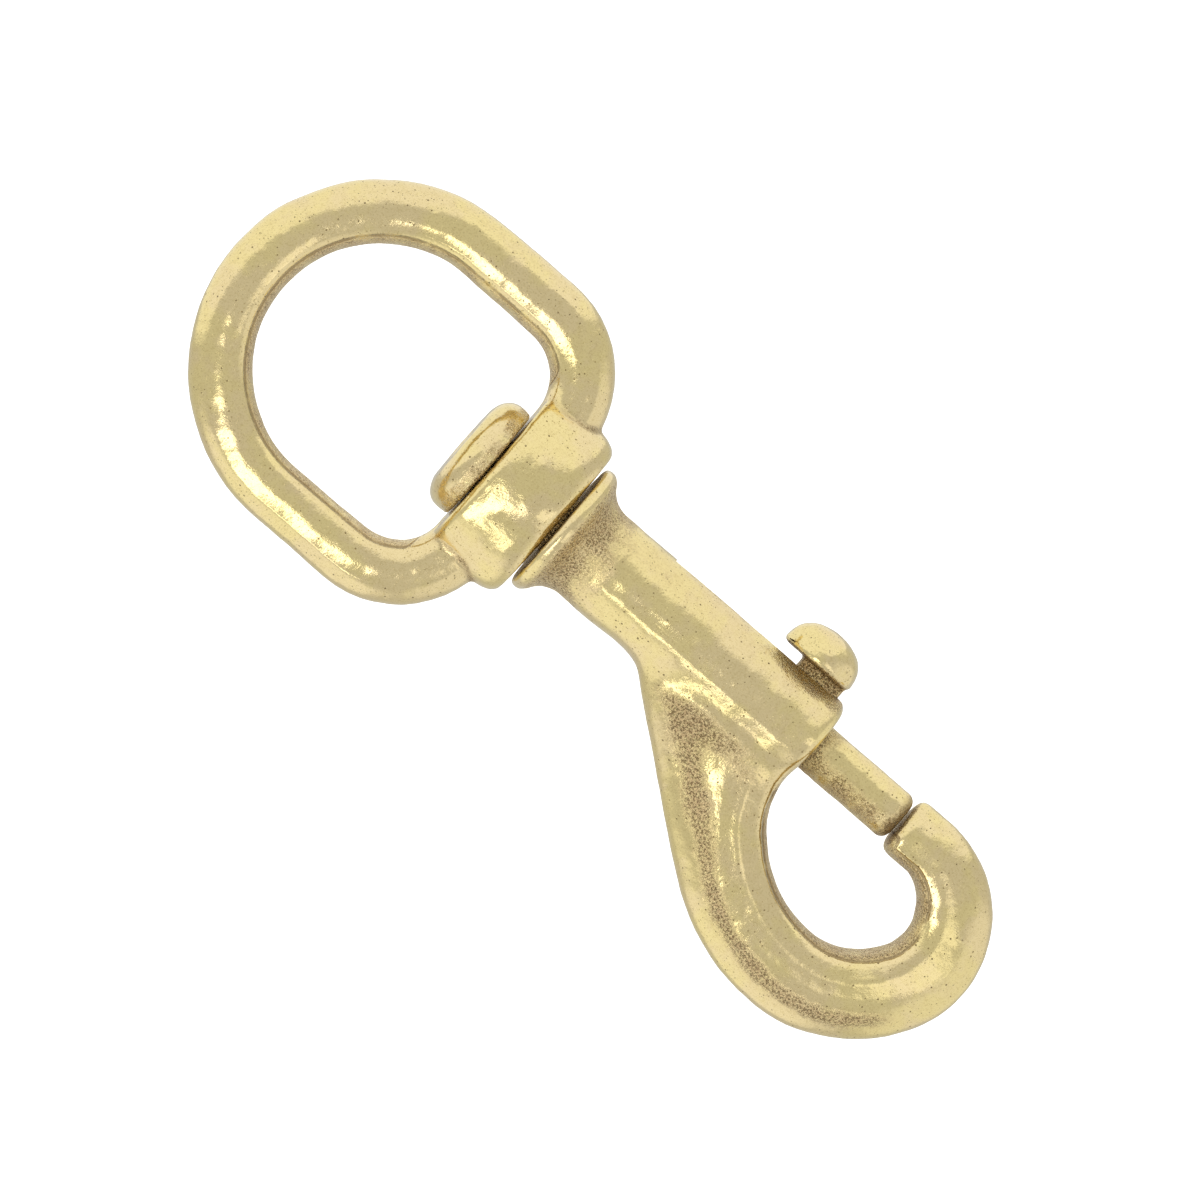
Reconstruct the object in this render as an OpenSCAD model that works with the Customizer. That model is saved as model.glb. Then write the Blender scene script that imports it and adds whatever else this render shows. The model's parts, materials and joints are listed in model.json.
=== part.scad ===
// Swivel bolt snap in solid brass: a strap eye that turns on a rivet, a cast hook body,
// and a spring-loaded lock bolt that closes the hook and is drawn back by a thumb knob.
//
// Frame, in millimetres: the origin is the centre of the eye's round opening. +X runs along the
// swivel axis from the eye to the hook, +Y points at the thumb knob, and +Z is square to the
// plane of the hook.

/* [Swivel eye] */
// Clear width inside the eye
eye_inner_w = 25.4; // [24:0.2:28]
// Diameter of the eye's round bar
eye_bar_d = 6.4; // [5.8:0.1:7]
// Length of the eye's straight sides
eye_side = 9; // [8:0.5:11]
// Inner radius of the eye's lower corners
eye_corner_r = 5; // [4:0.5:6]
// Width of the collar, across the eye
collar_w = 19.8; // [19:0.2:21]
// Depth of the collar, square to the eye's plane
collar_depth = 14.6; // [14:0.2:16]
// Length of the collar along the swivel axis
collar_len = 8.6; // [8:0.2:10]

/* [Swivel rivet] */
// Diameter of the rivet's head
rivet_head_d = 13; // [11:0.5:14]
// Height of the rivet's head
rivet_head_h = 3.4; // [3:0.2:3.8]
// Diameter of the rivet's shank
rivet_shank_d = 6.4; // [6:0.1:6.8]
// Length of shank pressed into the hook body
rivet_grip = 5.6; // [4.6:0.2:6]

/* [Hook body] */
// Diameter of the flange that bears on the collar
flange_d = 15; // [14:0.5:16]
// Diameter of the barrel that holds the bolt
barrel_d = 10.4; // [10:0.2:11]
// Length of the body from the flange's face to the barrel's mouth
barrel_len = 33.8; // [33:0.2:36]
// Opening between the barrel's mouth and the hook's tip
gate = 11.7; // [11:0.1:12.5]
// Thickness of the hook, square to its plane
hook_t = 7.6; // [7:0.2:8.4]

/* [Lock bolt] */
// Diameter of the bolt
bolt_d = 5.3; // [5:0.1:5.5]
// Distance that the bolt draws back
bolt_travel = 12; // [11:0.5:12]
// Diameter of the thumb knob
knob_d = 8.4; // [7.6:0.2:9]
// Height of the thumb knob above its flat underside
knob_h = 3.9; // [3.4:0.1:4.4]

/* [Bolt spring] */
// Diameter of the spring's wire
wire_d = 0.6; // [0.5:0.05:0.6]
// Number of turns
turns = 7; // [6:1:7]

/* [Hidden] */

BRASS = "#cdb76c";
STEEL = "#b9bcc0";
$fn = 96;
CUT = 1;                                    // how far a cutting tool runs past what it cuts

// Clearances
fit = 0.1;                                  // radial play of the swivel and of the sliding bolt
press = 0.01;                               // what keeps pressed faces from overlapping
head_play = 0.2;                            // between the rivet's head and the collar
flange_play = 0.4;                          // between the collar and the flange
tip_play = 0.3;                             // between the closed bolt and the hook's tip
coil_play = 0.2;                            // between the spring and the bore
coil_gap = 0.02;                            // between the spring's ends and what they press on

// Places along the swivel axis
eye_r = eye_inner_w / 2 + eye_bar_d / 2;    // centre line of the eye's bar
corner_ease = 0.3;                          // the corners' centre line is a little wider still
corner_r = eye_corner_r + eye_bar_d / 2 + corner_ease;
corner_end = 0.4;                           // from the corners' inner end to the collar
collar_x0 = eye_side + eye_corner_r + corner_end;
collar_x1 = collar_x0 + collar_len;
head_x0 = collar_x0 - head_play - rivet_head_h;
flange_x = collar_x1 + flange_play;
mouth_x = flange_x + barrel_len;
tip_x = mouth_x + gate;
bolt_x1 = tip_x - tip_play;
grip_x1 = flange_x + rivet_grip;            // where the rivet ends and the spring's seat begins

// Lock bolt, knob and slot
bore_r = bolt_d / 2 + fit;
bolt_len = 22.6;
bolt_x0 = bolt_x1 - bolt_len;
neck_len = 5.2;                             // the knob's flat neck, along the barrel
neck_t = 2.6;                               // and across the slot
lip = 1.3;                                  // wall left in front of the slot
neck_x1 = mouth_x - lip - fit;
neck_x0 = neck_x1 - neck_len;
slot_spare = 4;                             // length of slot behind the drawn-back neck
slot_x0 = neck_x0 - bolt_travel - slot_spare;
knob_lead = 0.4;                            // how far the knob's rim reaches past its neck
knob_x = neck_x1 - knob_d / 2 + knob_lead;
knob_lift = 1;                              // gap between the barrel and the knob
knob_y = barrel_d / 2 + knob_lift;          // flat underside of the knob
stem_r = 1.2;                               // the knob's round stem, pressed into the bolt

// Bolt spring
spring_r = bore_r - wire_d / 2 - coil_play; // centre line of the coils
spring_x0 = grip_x1 + wire_d / 2 + coil_gap;
spring_x1 = bolt_x0 - wire_d / 2 - coil_gap;

// Outer outline of the hook: a straight back at back_a degrees to the axis, then three arcs
back_a = 38;
turn_x = mouth_x + 11.8;                    // where the outline runs parallel to the axis
turn_y = -23.5;
shoulder_r = 22.4;                          // arc from the back to that place
heel_r = 16.5;                              // then 60 degrees round the heel
toe_r = 12.3;                               // then 120 degrees round to the tip's side
back_len = 24.6;                            // straight stretch, most of it merged with the barrel

// Width of the hook's bar against the outline's direction, in degrees, and its thickness
BAR_W = [[-38, 9.4], [0, 9.3], [60, 9], [90, 8.7], [135, 7.8], [165, 6.9], [180, 6.5]];
BAR_T = [[-38, hook_t], [60, hook_t], [120, hook_t - 0.5], [180, hook_t - 1.2]];
// Width of the web along the back: share of the straight stretch, then width. It is widest where
// its inner wall comes out of the barrel, flush with the mouth.
WEB_W = [[0, 6], [0.35, 9.5], [0.6, 13.8], [0.65, 13.4], [0.7, 12.5], [0.75, 11.5], [0.8, 10.6],
         [0.85, 10], [0.9, 9.65], [1, 9.4]];

SIDES = 24;                                 // points round the hook's bar
tip_round = 1.3;                            // rounding of the hook's tip

// Rounded ends, as [distance from the end, distance from the full radius]
MOUTH = [[-1.2, 0], [-0.4, -0.3], [0, -1.1]];       // the barrel's mouth
BOLT_TIP = [[-0.7, 0], [-0.2, -0.3], [0, -0.9]];    // the bolt's tip
HEAD_RIM = [[-0.9, 0], [-0.3, -0.2], [0, -0.8]];    // the rivet's head where it meets the collar
function rounded(end, r, shape) = [for (s = shape) [end + s[0], r + s[1]]];

// Turns a drawing made round Z so that its axis lies along +X
module along_x(x = 0) translate([x, 0, 0]) rotate([0, 90, 0]) children();

// A solid of revolution about X from a list of [x, radius] points
module turned(points) rotate([0, 90, 0]) rotate_extrude()
    polygon([for (p = points) [p[1], p[0]]]);

// ---------------------------------------------------------------- swivel eye

// One side of the eye's loop from the round end down into the collar; s is 1 or -1
module eye_side_bar(s) {
    along_x() translate([0, s * eye_r, 0]) cylinder(d = eye_bar_d, h = eye_side);
    translate([eye_side, s * (eye_r - corner_r), 0]) rotate([0, 0, s > 0 ? 0 : -90])
        rotate_extrude(angle = 90) translate([corner_r, 0]) circle(d = eye_bar_d);
}

// The collar is crowned front and back, and bevelled towards the flange
module collar_block() {
    crown_r = 14;
    crown_z = crown_r - collar_depth / 2;
    r = collar_w / 2;
    edge = 0.7;                             // chamfer towards the eye
    bevel = 1.7;                            // length of the bevel towards the flange
    face_r = flange_d / 2 - 0.1;            // the face stays just inside the flange's rim
    intersection() {
        turned([[collar_x0, 0], [collar_x0, r - edge], [collar_x0 + edge, r],
                [collar_x1 - bevel, r], [collar_x1, face_r], [collar_x1, 0]]);
        along_x(collar_x0 - CUT) translate([crown_z, 0, 0])
            cylinder(r = crown_r, h = collar_len + 2 * CUT);
        along_x(collar_x0 - CUT) translate([-crown_z, 0, 0])
            cylinder(r = crown_r, h = collar_len + 2 * CUT);
    }
}

module swivel_eye() {
    over = 4;                               // the drill runs this far past the collar
    color(BRASS) difference() {
        union() {
            rotate([0, 0, 90]) rotate_extrude(angle = 180) translate([eye_r, 0]) circle(d = eye_bar_d);
            for (s = [-1, 1]) eye_side_bar(s);
            collar_block();
        }
        along_x(collar_x0 - over) cylinder(r = rivet_shank_d / 2 + fit, h = collar_len + 2 * over);
    }
}

// ---------------------------------------------------------------- swivel rivet

module swivel_rivet() {
    r = rivet_head_d / 2;
    shank_r = rivet_shank_d / 2;
    under = head_x0 + rivet_head_h;
    dimple = 0.5;                           // depth of the peened hollow in the head
    dimple_r = 2.2;
    dimple_edge = 0.1;                      // depth left at the hollow's edge
    crown = 2;                              // rounding of the head
    flare = 0.4;                            // how much wider the head is below its rounding
    lead = 0.5;                             // chamfer at the shank's end
    color(BRASS) turned(concat(
        [[head_x0 + dimple, 0], [head_x0 + dimple_edge, dimple_r]],
        [for (a = [0:15:90]) [head_x0 + crown - crown * cos(a), r - flare - crown + crown * sin(a)]],
        rounded(under, r, HEAD_RIM),
        [[under, shank_r], [grip_x1 - lead, shank_r], [grip_x1, shank_r - lead], [grip_x1, 0]]));
}

// ---------------------------------------------------------------- hook body

function dir(a) = [cos(a), sin(a)];
function inward(a) = [-sin(a), cos(a)];

// A point of the outer outline where it runs in direction a, from -back_a to 180 degrees
turn = [turn_x, turn_y];
shoulder_c = turn + shoulder_r * inward(0);
heel_c = turn + heel_r * inward(0);
toe_c = heel_c + (toe_r - heel_r) * inward(60);
function outline(a) =
    a < 0 ? shoulder_c - shoulder_r * inward(a) :
    a < 60 ? heel_c - heel_r * inward(a) : toe_c - toe_r * inward(a);

// A station of the hook's bar is [outer point, direction, width, thickness]
back_end = outline(-back_a);
toe_end = outline(180);
tip_len = toe_end[0] - tip_x;

// Along the straight back, from the share s of its length
function back_station(s) =
    [back_end - (1 - s) * back_len * dir(-back_a), -back_a, lookup(s, WEB_W), hook_t];

// Round the hook, where it runs in direction a
function bar_station(a) = [outline(a), a, lookup(a, BAR_W), lookup(a, BAR_T)];

// Over the rounded tip, b degrees round from its side to its face
function tip_station(b) =
    let (in = tip_round * (1 - cos(b)), run = tip_len - tip_round * (1 - sin(b)))
    [toe_end + run * dir(180) + in * inward(180), 180,
     lookup(180, BAR_W) - 2 * in, lookup(180, BAR_T) - 2 * in];

STATIONS = concat(
    [for (s = [0:0.1:0.55]) back_station(s)],
    [for (s = [0.6:0.05:0.96]) back_station(s)],
    [for (a = [-back_a:back_a / 5:-1]) bar_station(a)],
    [for (a = [0:9:179]) bar_station(a)],
    [for (b = [0:30:90]) tip_station(b)]);

// How square the bar's section is, as the powers of its width and its depth: 1 is an ellipse
WALL = [0.42, 0.5];                         // at the inner wall
BACK = [0.8, 0.8];                          // on the outside

// One ring of the bar
function ring(st) = [for (i = [0:SIDES - 1])
    let (q = 360 * i / SIDES, n = (cos(q) > 0 ? WALL : BACK)[0], m = (cos(q) > 0 ? WALL : BACK)[1],
         u = sign(cos(q)) * pow(abs(cos(q)), n), v = sign(sin(q)) * pow(abs(sin(q)), m),
         p = st[0] + (st[2] / 2 * (1 + u)) * inward(st[1]))
    [p[0], p[1], st[3] / 2 * v]];

// A closed skin over rings that all have SIDES points
module skin(rings) {
    n = len(rings);
    polyhedron(
        points = [for (r = rings) each r],
        faces = concat(
            [[for (i = [0:SIDES - 1]) i]],
            [for (k = [0:n - 2], i = [0:SIDES - 1]) let (j = (i + 1) % SIDES)
                [k * SIDES + i, (k + 1) * SIDES + i, k * SIDES + j]],
            [for (k = [0:n - 2], i = [0:SIDES - 1]) let (j = (i + 1) % SIDES)
                [(k + 1) * SIDES + i, (k + 1) * SIDES + j, k * SIDES + j]],
            [[for (i = [SIDES - 1:-1:0]) (n - 1) * SIDES + i]]));
}

// Flange, neck fillet and barrel in one turned piece
module barrel_blank() {
    r = barrel_d / 2;
    rim = flange_d / 2;
    fillet = 3;                             // concave round between the flange and the barrel
    fillet_x = 1.5;                         // where the fillet begins
    edge = 0.4;                             // chamfer of the flange
    rim_len = 1.2;                          // thickness of the flange at its rim
    turned(concat(
        [[flange_x, 0], [flange_x, rim - edge], [flange_x + edge, rim], [flange_x + rim_len, rim]],
        [for (a = [20:14:90])
            [flange_x + fillet_x + fillet * (1 - cos(a)), r + fillet * (1 - sin(a))]],
        rounded(mouth_x, r, MOUTH),
        [[mouth_x, 0]]));
}

module hook_body() {
    color(BRASS) difference() {
        union() {
            barrel_blank();
            skin([for (st = STATIONS) ring(st)]);
        }
        along_x(flange_x - CUT) cylinder(r = rivet_shank_d / 2 + press, h = rivet_grip + CUT);
        along_x(grip_x1 - CUT) cylinder(r = bore_r, h = mouth_x - grip_x1 + 2 * CUT);
        slot_w = neck_t / 2 + fit;
        translate([slot_x0, 0, -slot_w])
            cube([neck_x1 + fit - slot_x0, barrel_d, 2 * slot_w]);
    }
}

// ---------------------------------------------------------------- lock bolt and thumb knob

module lock_bolt() {
    r = bolt_d / 2;
    edge = 0.4;                             // chamfer at the spring's end
    color(BRASS) difference() {
        turned(concat([[bolt_x0, 0], [bolt_x0, r - edge], [bolt_x0 + edge, r]],
            rounded(bolt_x1, r, BOLT_TIP), [[bolt_x1, 0]]));
        translate([neck_x0 + neck_len / 2, 0, 0]) rotate([-90, 0, 0])
            cylinder(r = stem_r + press, h = bolt_d);
    }
}

module thumb_knob() {
    rim = 0.7;                              // straight rim below the dome
    edge = [0.4, 0.3];                      // chamfer under the rim, across and up
    bite = 0.2;                             // how far the neck runs up into the dome
    foot = 0.1;                             // where the stem begins, above the bolt's axis
    dome = knob_h - rim;
    r = knob_d / 2;
    ball = (r * r + dome * dome) / (2 * dome);
    color(BRASS) {
        difference() {
            union() {
                translate([knob_x, knob_y, 0]) rotate([-90, 0, 0]) rotate_extrude()
                    polygon(concat([[0, 0], [r - edge[0], 0], [r, edge[1]], [r, rim]],
                        [for (k = [1:11]) let (a = asin(r / ball) * (1 - k / 12))
                            [ball * sin(a), rim + ball * cos(a) - (ball - dome)]],
                        [[0, knob_h]]));
                translate([neck_x0, 0, -neck_t / 2]) cube([neck_len, knob_y + bite, neck_t]);
            }
            along_x(neck_x0 - CUT) cylinder(r = bolt_d / 2 + press, h = neck_len + 2 * CUT);
        }
        translate([neck_x0 + neck_len / 2, foot, 0]) rotate([-90, 0, 0])
            cylinder(r = stem_r, h = knob_y);
    }
}

// ---------------------------------------------------------------- bolt spring

module bolt_spring() {
    steps = 20;                             // rings to a turn
    wire_sides = 8;
    count = turns * steps;
    close = 1 / turns;                      // share of the turns at each end that lies closed
    run = spring_x1 - spring_x0;
    rise = wire_d * 1.04;                   // pitch of the closed turns
    function at(s) = s < close ? rise * s * turns :
        s > 1 - close ? run - rise * (1 - s) * turns :
        rise + (run - 2 * rise) * (s - close) / (1 - 2 * close);
    color(STEEL) polyhedron(
        points = [for (k = [0:count], i = [0:wire_sides - 1])
            let (s = k / count, a = 360 * s * turns, q = 360 * i / wire_sides,
                 r = spring_r + wire_d / 2 * cos(q))
            [spring_x0 + at(s) + wire_d / 2 * sin(q), r * cos(a), r * sin(a)]],
        faces = concat(
            [[for (i = [wire_sides - 1:-1:0]) i]],
            [for (k = [0:count - 1], i = [0:wire_sides - 1]) let (j = (i + 1) % wire_sides)
                [k * wire_sides + i, k * wire_sides + j, (k + 1) * wire_sides + i]],
            [for (k = [0:count - 1], i = [0:wire_sides - 1]) let (j = (i + 1) % wire_sides)
                [k * wire_sides + j, (k + 1) * wire_sides + j, (k + 1) * wire_sides + i]],
            [[for (i = [0:wire_sides - 1]) count * wire_sides + i]]));
}

swivel_eye();
swivel_rivet();
hook_body();
lock_bolt();
thumb_knob();
bolt_spring();
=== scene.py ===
"""The looks of a brass swivel bolt snap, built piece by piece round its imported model."""

import json
import logging
import math
from dataclasses import dataclass
from enum import Enum
from typing import Callable, Sequence

import bpy
import numpy as np
from mathutils import Matrix, Vector

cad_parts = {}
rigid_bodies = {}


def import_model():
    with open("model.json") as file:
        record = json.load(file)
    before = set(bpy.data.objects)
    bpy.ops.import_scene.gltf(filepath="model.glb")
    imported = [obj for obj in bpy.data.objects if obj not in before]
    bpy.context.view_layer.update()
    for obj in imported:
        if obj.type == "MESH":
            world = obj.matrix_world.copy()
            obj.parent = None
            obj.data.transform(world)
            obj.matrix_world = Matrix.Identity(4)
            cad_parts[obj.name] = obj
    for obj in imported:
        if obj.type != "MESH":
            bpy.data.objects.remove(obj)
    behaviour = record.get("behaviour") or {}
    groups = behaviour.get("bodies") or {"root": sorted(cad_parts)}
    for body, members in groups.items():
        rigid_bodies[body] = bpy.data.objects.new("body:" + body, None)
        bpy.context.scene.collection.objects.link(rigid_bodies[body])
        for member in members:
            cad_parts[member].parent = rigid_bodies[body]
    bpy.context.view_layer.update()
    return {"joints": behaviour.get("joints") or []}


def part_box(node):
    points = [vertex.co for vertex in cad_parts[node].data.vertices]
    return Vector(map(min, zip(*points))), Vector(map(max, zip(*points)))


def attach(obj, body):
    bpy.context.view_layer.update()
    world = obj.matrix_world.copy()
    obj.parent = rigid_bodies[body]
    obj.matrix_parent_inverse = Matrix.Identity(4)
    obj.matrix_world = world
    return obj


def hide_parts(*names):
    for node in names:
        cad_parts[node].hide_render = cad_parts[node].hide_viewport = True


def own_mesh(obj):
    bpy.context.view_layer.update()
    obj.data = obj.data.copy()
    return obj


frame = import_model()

MM = 0.001
WEIGHT_STEPS = 20
FAR = 1e9
log = logging.getLogger("swivel_hook")

Rule = Callable[[np.ndarray], np.ndarray]
Socket = bpy.types.NodeSocket
Level = Socket | float
Colour = tuple[float, float, float, float]
Pairs = tuple[tuple[float, float], ...]


class Body(str, Enum):
    """The bodies that move against each other."""

    HOOK = "hook"
    EYE = "eye"
    BOLT = "bolt"


class Slot(str, Enum):
    """The record's material slots."""

    CAST = "cast_brass"
    TURNED = "turned_brass"
    SPRING = "spring_steel"


class Mask(str, Enum):
    """Values kept on a piece's vertices that its finish reads."""

    ROUGH = "rough_cast"
    # Grime and painted shade: a little real grime on open skin, and painted shade in hollows, bores, slots,
    # under heads and on faces between parts.
    GRIME = "grime"
    # Where the inner wall's edge runs; the finish paints a thin line of shade along it.
    CREASE = "crease"


# ------------------------------------------------------------------ shaping at the bench


@dataclass(frozen=True)
class Station:
    """One ring of a bar, in millimetres.

    The ring's middle is at (x, y). The bar runs in direction turn, in degrees from +X, and is
    width wide in the hook's plane and depth deep square to it.
    """

    x: float
    y: float
    turn: float
    width: float
    depth: float


@dataclass(frozen=True)
class Section:
    """The cross-section of a bar: a circle pressed in at its inner wall and at its faces.

    sides is the number of points. The inner wall is the side to the left of the bar's run. It
    begins at wall, as a share of the radius, and keeps the share bulge of its roundness. The
    faces begin at level, as a share of the radius, and keep the share crown of theirs. The
    thickest place lies crest, as a share of the radius, from the middle towards the inner wall.
    """

    sides: int = 48
    crest: float = 0.0
    wall: float = 1.0
    bulge: float = 1.0
    level: float = 1.0
    crown: float = 1.0


@dataclass(frozen=True)
class WearAndShade:
    """How rough a place on a piece was left, and how much grime and painted shade it carries, from 0 to 1."""

    place: str
    rough: float
    # How dark the place is painted: real grime in a few open places, painted shade in hollows, bores and
    # between parts.
    grime: float = 0.0


class Bench:
    """The edit-mode steps that the pieces share."""

    @staticmethod
    def clear() -> None:
        """Leaves nothing selected."""
        for piece in bpy.context.scene.objects:
            piece.select_set(False)

    @staticmethod
    def take(piece: bpy.types.Object) -> None:
        """Selects one piece and makes it the active one.

        Args:
            piece: The piece.
        """
        Bench.clear()
        piece.select_set(True)
        bpy.context.view_layer.objects.active = piece

    @staticmethod
    def name(piece: bpy.types.Object, name: str) -> bpy.types.Object:
        """Names a piece and its mesh, and gives it back.

        Args:
            piece: The piece.
            name: Its new name.

        Returns:
            The same piece.
        """
        piece.name = name
        piece.data.name = name
        return piece

    @staticmethod
    def settle(piece: bpy.types.Object) -> None:
        """Puts a piece's place into its mesh."""
        Bench.take(piece)
        bpy.ops.object.transform_apply(location=True, rotation=True, scale=True)

    @staticmethod
    def pick(piece: bpy.types.Object, rule: Callable[[Vector], bool]) -> None:
        """Selects the points of a piece that pass a rule, and ends in edit mode.

        Args:
            piece: The piece, in object mode.
            rule: Says of a point, in metres, whether it is selected.
        """
        bpy.ops.object.mode_set(mode="EDIT")
        bpy.ops.mesh.select_mode(type="VERT")
        bpy.ops.mesh.select_all(action="DESELECT")
        bpy.ops.object.mode_set(mode="OBJECT")
        for vertex in piece.data.vertices:
            vertex.select = rule(vertex.co)
        bpy.ops.object.mode_set(mode="EDIT")

    @staticmethod
    def press(piece: bpy.types.Object, section: Section) -> None:
        """Presses a round ring of radius 1 into a bar's section, and ends with it all selected.

        Args:
            piece: The ring, round the origin and square to X.
            section: The shape to give it.
        """
        wall, level, crest = section.wall, section.level, section.crest
        bpy.ops.object.mode_set(mode="EDIT")
        if crest > 0:
            Bench.pick(piece, lambda point: point.y > 0)
            bpy.ops.transform.resize(value=(1, 1 - crest, 1), center_override=(0, 0, 0))
            Bench.pick(piece, lambda point: point.y < 0)
            bpy.ops.transform.resize(value=(1, 1 + crest, 1), center_override=(0, 0, 0))
            bpy.ops.mesh.select_all(action="SELECT")
            bpy.ops.transform.translate(value=(0, crest, 0))
        if wall < 1:
            Bench.pick(piece, lambda point: point.y > wall)
            bpy.ops.transform.resize(value=(1, section.bulge, 1), center_override=(0, wall, 0))
        if level < 1:
            Bench.pick(piece, lambda point: point.z > level)
            bpy.ops.transform.resize(value=(1, 1, section.crown), center_override=(0, 0, level))
            Bench.pick(piece, lambda point: point.z < -level)
            bpy.ops.transform.resize(value=(1, 1, section.crown), center_override=(0, 0, -level))
        reach = 1 + wall + (1 - wall) * section.bulge
        height = level + (1 - level) * section.crown
        bpy.ops.mesh.select_all(action="SELECT")
        bpy.ops.transform.resize(value=(1, 2 / reach, 1 / height), center_override=(0, -1, 0))

    @staticmethod
    def bar(name: str, stations: Sequence[Station], section: Section = Section()) -> bpy.types.Object:
        """Draws a ring out station by station into a closed bar.

        Args:
            name: The new piece's name.
            stations: The rings that the bar passes through, in order.
            section: The shape of the rings.

        Returns:
            The bar, with its place in its mesh.
        """
        first = stations[0]
        Bench.clear()
        bpy.ops.mesh.primitive_circle_add(
            vertices=section.sides, radius=1, fill_type="NGON", rotation=(0, math.pi / 2, 0)
        )
        piece = Bench.name(bpy.context.object, name)
        Bench.settle(piece)
        Bench.press(piece, section)
        middle = Vector((first.x, first.y, 0)) * MM
        bpy.ops.transform.resize(
            value=(1, first.width / 2 * MM, first.depth / 2 * MM), center_override=(0, 0, 0)
        )
        bpy.ops.transform.rotate(
            value=-math.radians(first.turn), orient_axis="Z", center_override=(0, 0, 0)
        )
        bpy.ops.transform.translate(value=middle)
        before = first
        for station in stations[1:]:
            here = Vector((station.x, station.y, 0)) * MM
            bpy.ops.mesh.extrude_region_move(TRANSFORM_OT_translate={"value": here - middle})
            bpy.ops.transform.rotate(
                value=-math.radians(station.turn - before.turn), orient_axis="Z", center_override=here
            )
            bpy.ops.transform.resize(
                value=(1, station.width / before.width, station.depth / before.depth),
                orient_type="GLOBAL",
                orient_matrix=Matrix.Rotation(math.radians(station.turn), 3, "Z"),
                orient_matrix_type="GLOBAL",
                center_override=here,
            )
            middle, before = here, station
        bpy.ops.mesh.select_all(action="SELECT")
        bpy.ops.mesh.normals_make_consistent(inside=False)
        bpy.ops.object.mode_set(mode="OBJECT")
        return piece

    @staticmethod
    def turned(name: str, profile: Sequence[tuple[float, float]], sides: int = 72) -> bpy.types.Object:
        """Turns a round piece about X.

        Args:
            name: The new piece's name.
            profile: Its (place, radius) pairs along X, in millimetres.
            sides: The number of points round it.

        Returns:
            The closed piece.
        """
        return Bench.bar(name, [Station(x, 0, 0, 2 * r, 2 * r) for x, r in profile], Section(sides))

    @staticmethod
    def block(name: str, low: Sequence[float], high: Sequence[float]) -> bpy.types.Object:
        """Adds a cutting block between two corners, in millimetres.

        Args:
            name: The new piece's name.
            low: The lowest corner.
            high: The highest corner.

        Returns:
            The block.
        """
        Bench.clear()
        bpy.ops.mesh.primitive_cube_add(size=1)
        piece = Bench.name(bpy.context.object, name)
        a, b = Vector(low) * MM, Vector(high) * MM
        piece.location, piece.scale = (a + b) / 2, b - a
        Bench.settle(piece)
        return piece

    @staticmethod
    def modify(piece: bpy.types.Object, kind: str, **settings: object) -> None:
        """Adds a modifier with these settings and applies it.

        Args:
            piece: The piece.
            kind: The modifier's type.
            settings: Its properties.
        """
        Bench.take(piece)
        modifier = piece.modifiers.new(kind.title(), kind)
        for key, value in settings.items():
            setattr(modifier, key, value)
        bpy.ops.object.modifier_apply(modifier=modifier.name)

    @staticmethod
    def cut(piece: bpy.types.Object, tool: bpy.types.Object) -> None:
        """Cuts a tool's shape out of a piece, and puts the tool away.

        Args:
            piece: The piece that is cut.
            tool: The closed shape that is taken out of it.
        """
        Bench.modify(piece, "BOOLEAN", operation="DIFFERENCE", solver="EXACT", object=tool)
        bpy.data.objects.remove(tool)

    @staticmethod
    def merge(pieces: Sequence[bpy.types.Object], name: str) -> bpy.types.Object:
        """Joins several pieces into one object.

        Args:
            pieces: The pieces, the first of which takes in the rest.
            name: The whole's name.

        Returns:
            The joined piece.
        """
        Bench.take(pieces[0])
        for piece in pieces:
            piece.select_set(True)
        bpy.ops.object.join()
        return Bench.name(bpy.context.object, name)

    @staticmethod
    def cast(piece: bpy.types.Object, grain: float, soften: int) -> None:
        """Melts a piece's parts into one skin, as the foundry's mould does.

        Args:
            piece: The piece, whose parts may overlap.
            grain: The size of the new skin's faces, in millimetres.
            soften: The number of smoothing passes.
        """
        Bench.modify(piece, "REMESH", mode="VOXEL", voxel_size=grain * MM, adaptivity=0)
        Bench.modify(piece, "SMOOTH", factor=0.5, iterations=soften)

    @staticmethod
    def group(piece: bpy.types.Object, name: str, weights: np.ndarray) -> None:
        """Keeps one weight for each point of a piece in a vertex group.

        Args:
            piece: The piece.
            name: The group's name.
            weights: One weight from 0 to 1 to a point.
        """
        made = piece.vertex_groups.new(name=name)
        levels = np.round(np.clip(weights, 0, 1) * WEIGHT_STEPS).astype(int)
        for level in range(1, WEIGHT_STEPS + 1):
            made.add(np.flatnonzero(levels == level).tolist(), level / WEIGHT_STEPS, "REPLACE")

    @staticmethod
    def soften_where(piece: bpy.types.Object, rule: Rule, passes: int) -> None:
        """Smooths a piece where a rule on its points, in millimetres, gives more than nothing.

        Args:
            piece: The piece.
            rule: Where, from points to weights.
            passes: How many times.
        """
        Bench.group(piece, "soften", rule(Skin.points(piece)))
        Bench.modify(piece, "SMOOTH", factor=0.5, iterations=passes, vertex_group="soften")
        piece.vertex_groups.clear()

    @staticmethod
    def beat(piece: bpy.types.Object, size: float, height: float, rule: Rule | None = None) -> None:
        """Makes a skin uneven.

        Args:
            piece: The piece.
            size: How far apart the bumps are, in millimetres.
            height: How high they stand, in millimetres.
            rule: Where to do it, from points in millimetres to weights. Everywhere without one.
        """
        clouds = bpy.data.textures.new("uneven", "CLOUDS")
        clouds.noise_scale = size * MM
        clouds.noise_depth = 1
        settings = {"texture": clouds, "strength": height * MM, "mid_level": 0.5, "texture_coords": "LOCAL"}
        if rule is not None:
            Bench.group(piece, "beat", rule(Skin.points(piece)))
            settings["vertex_group"] = "beat"
        Bench.modify(piece, "DISPLACE", **settings)
        piece.vertex_groups.clear()

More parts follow.
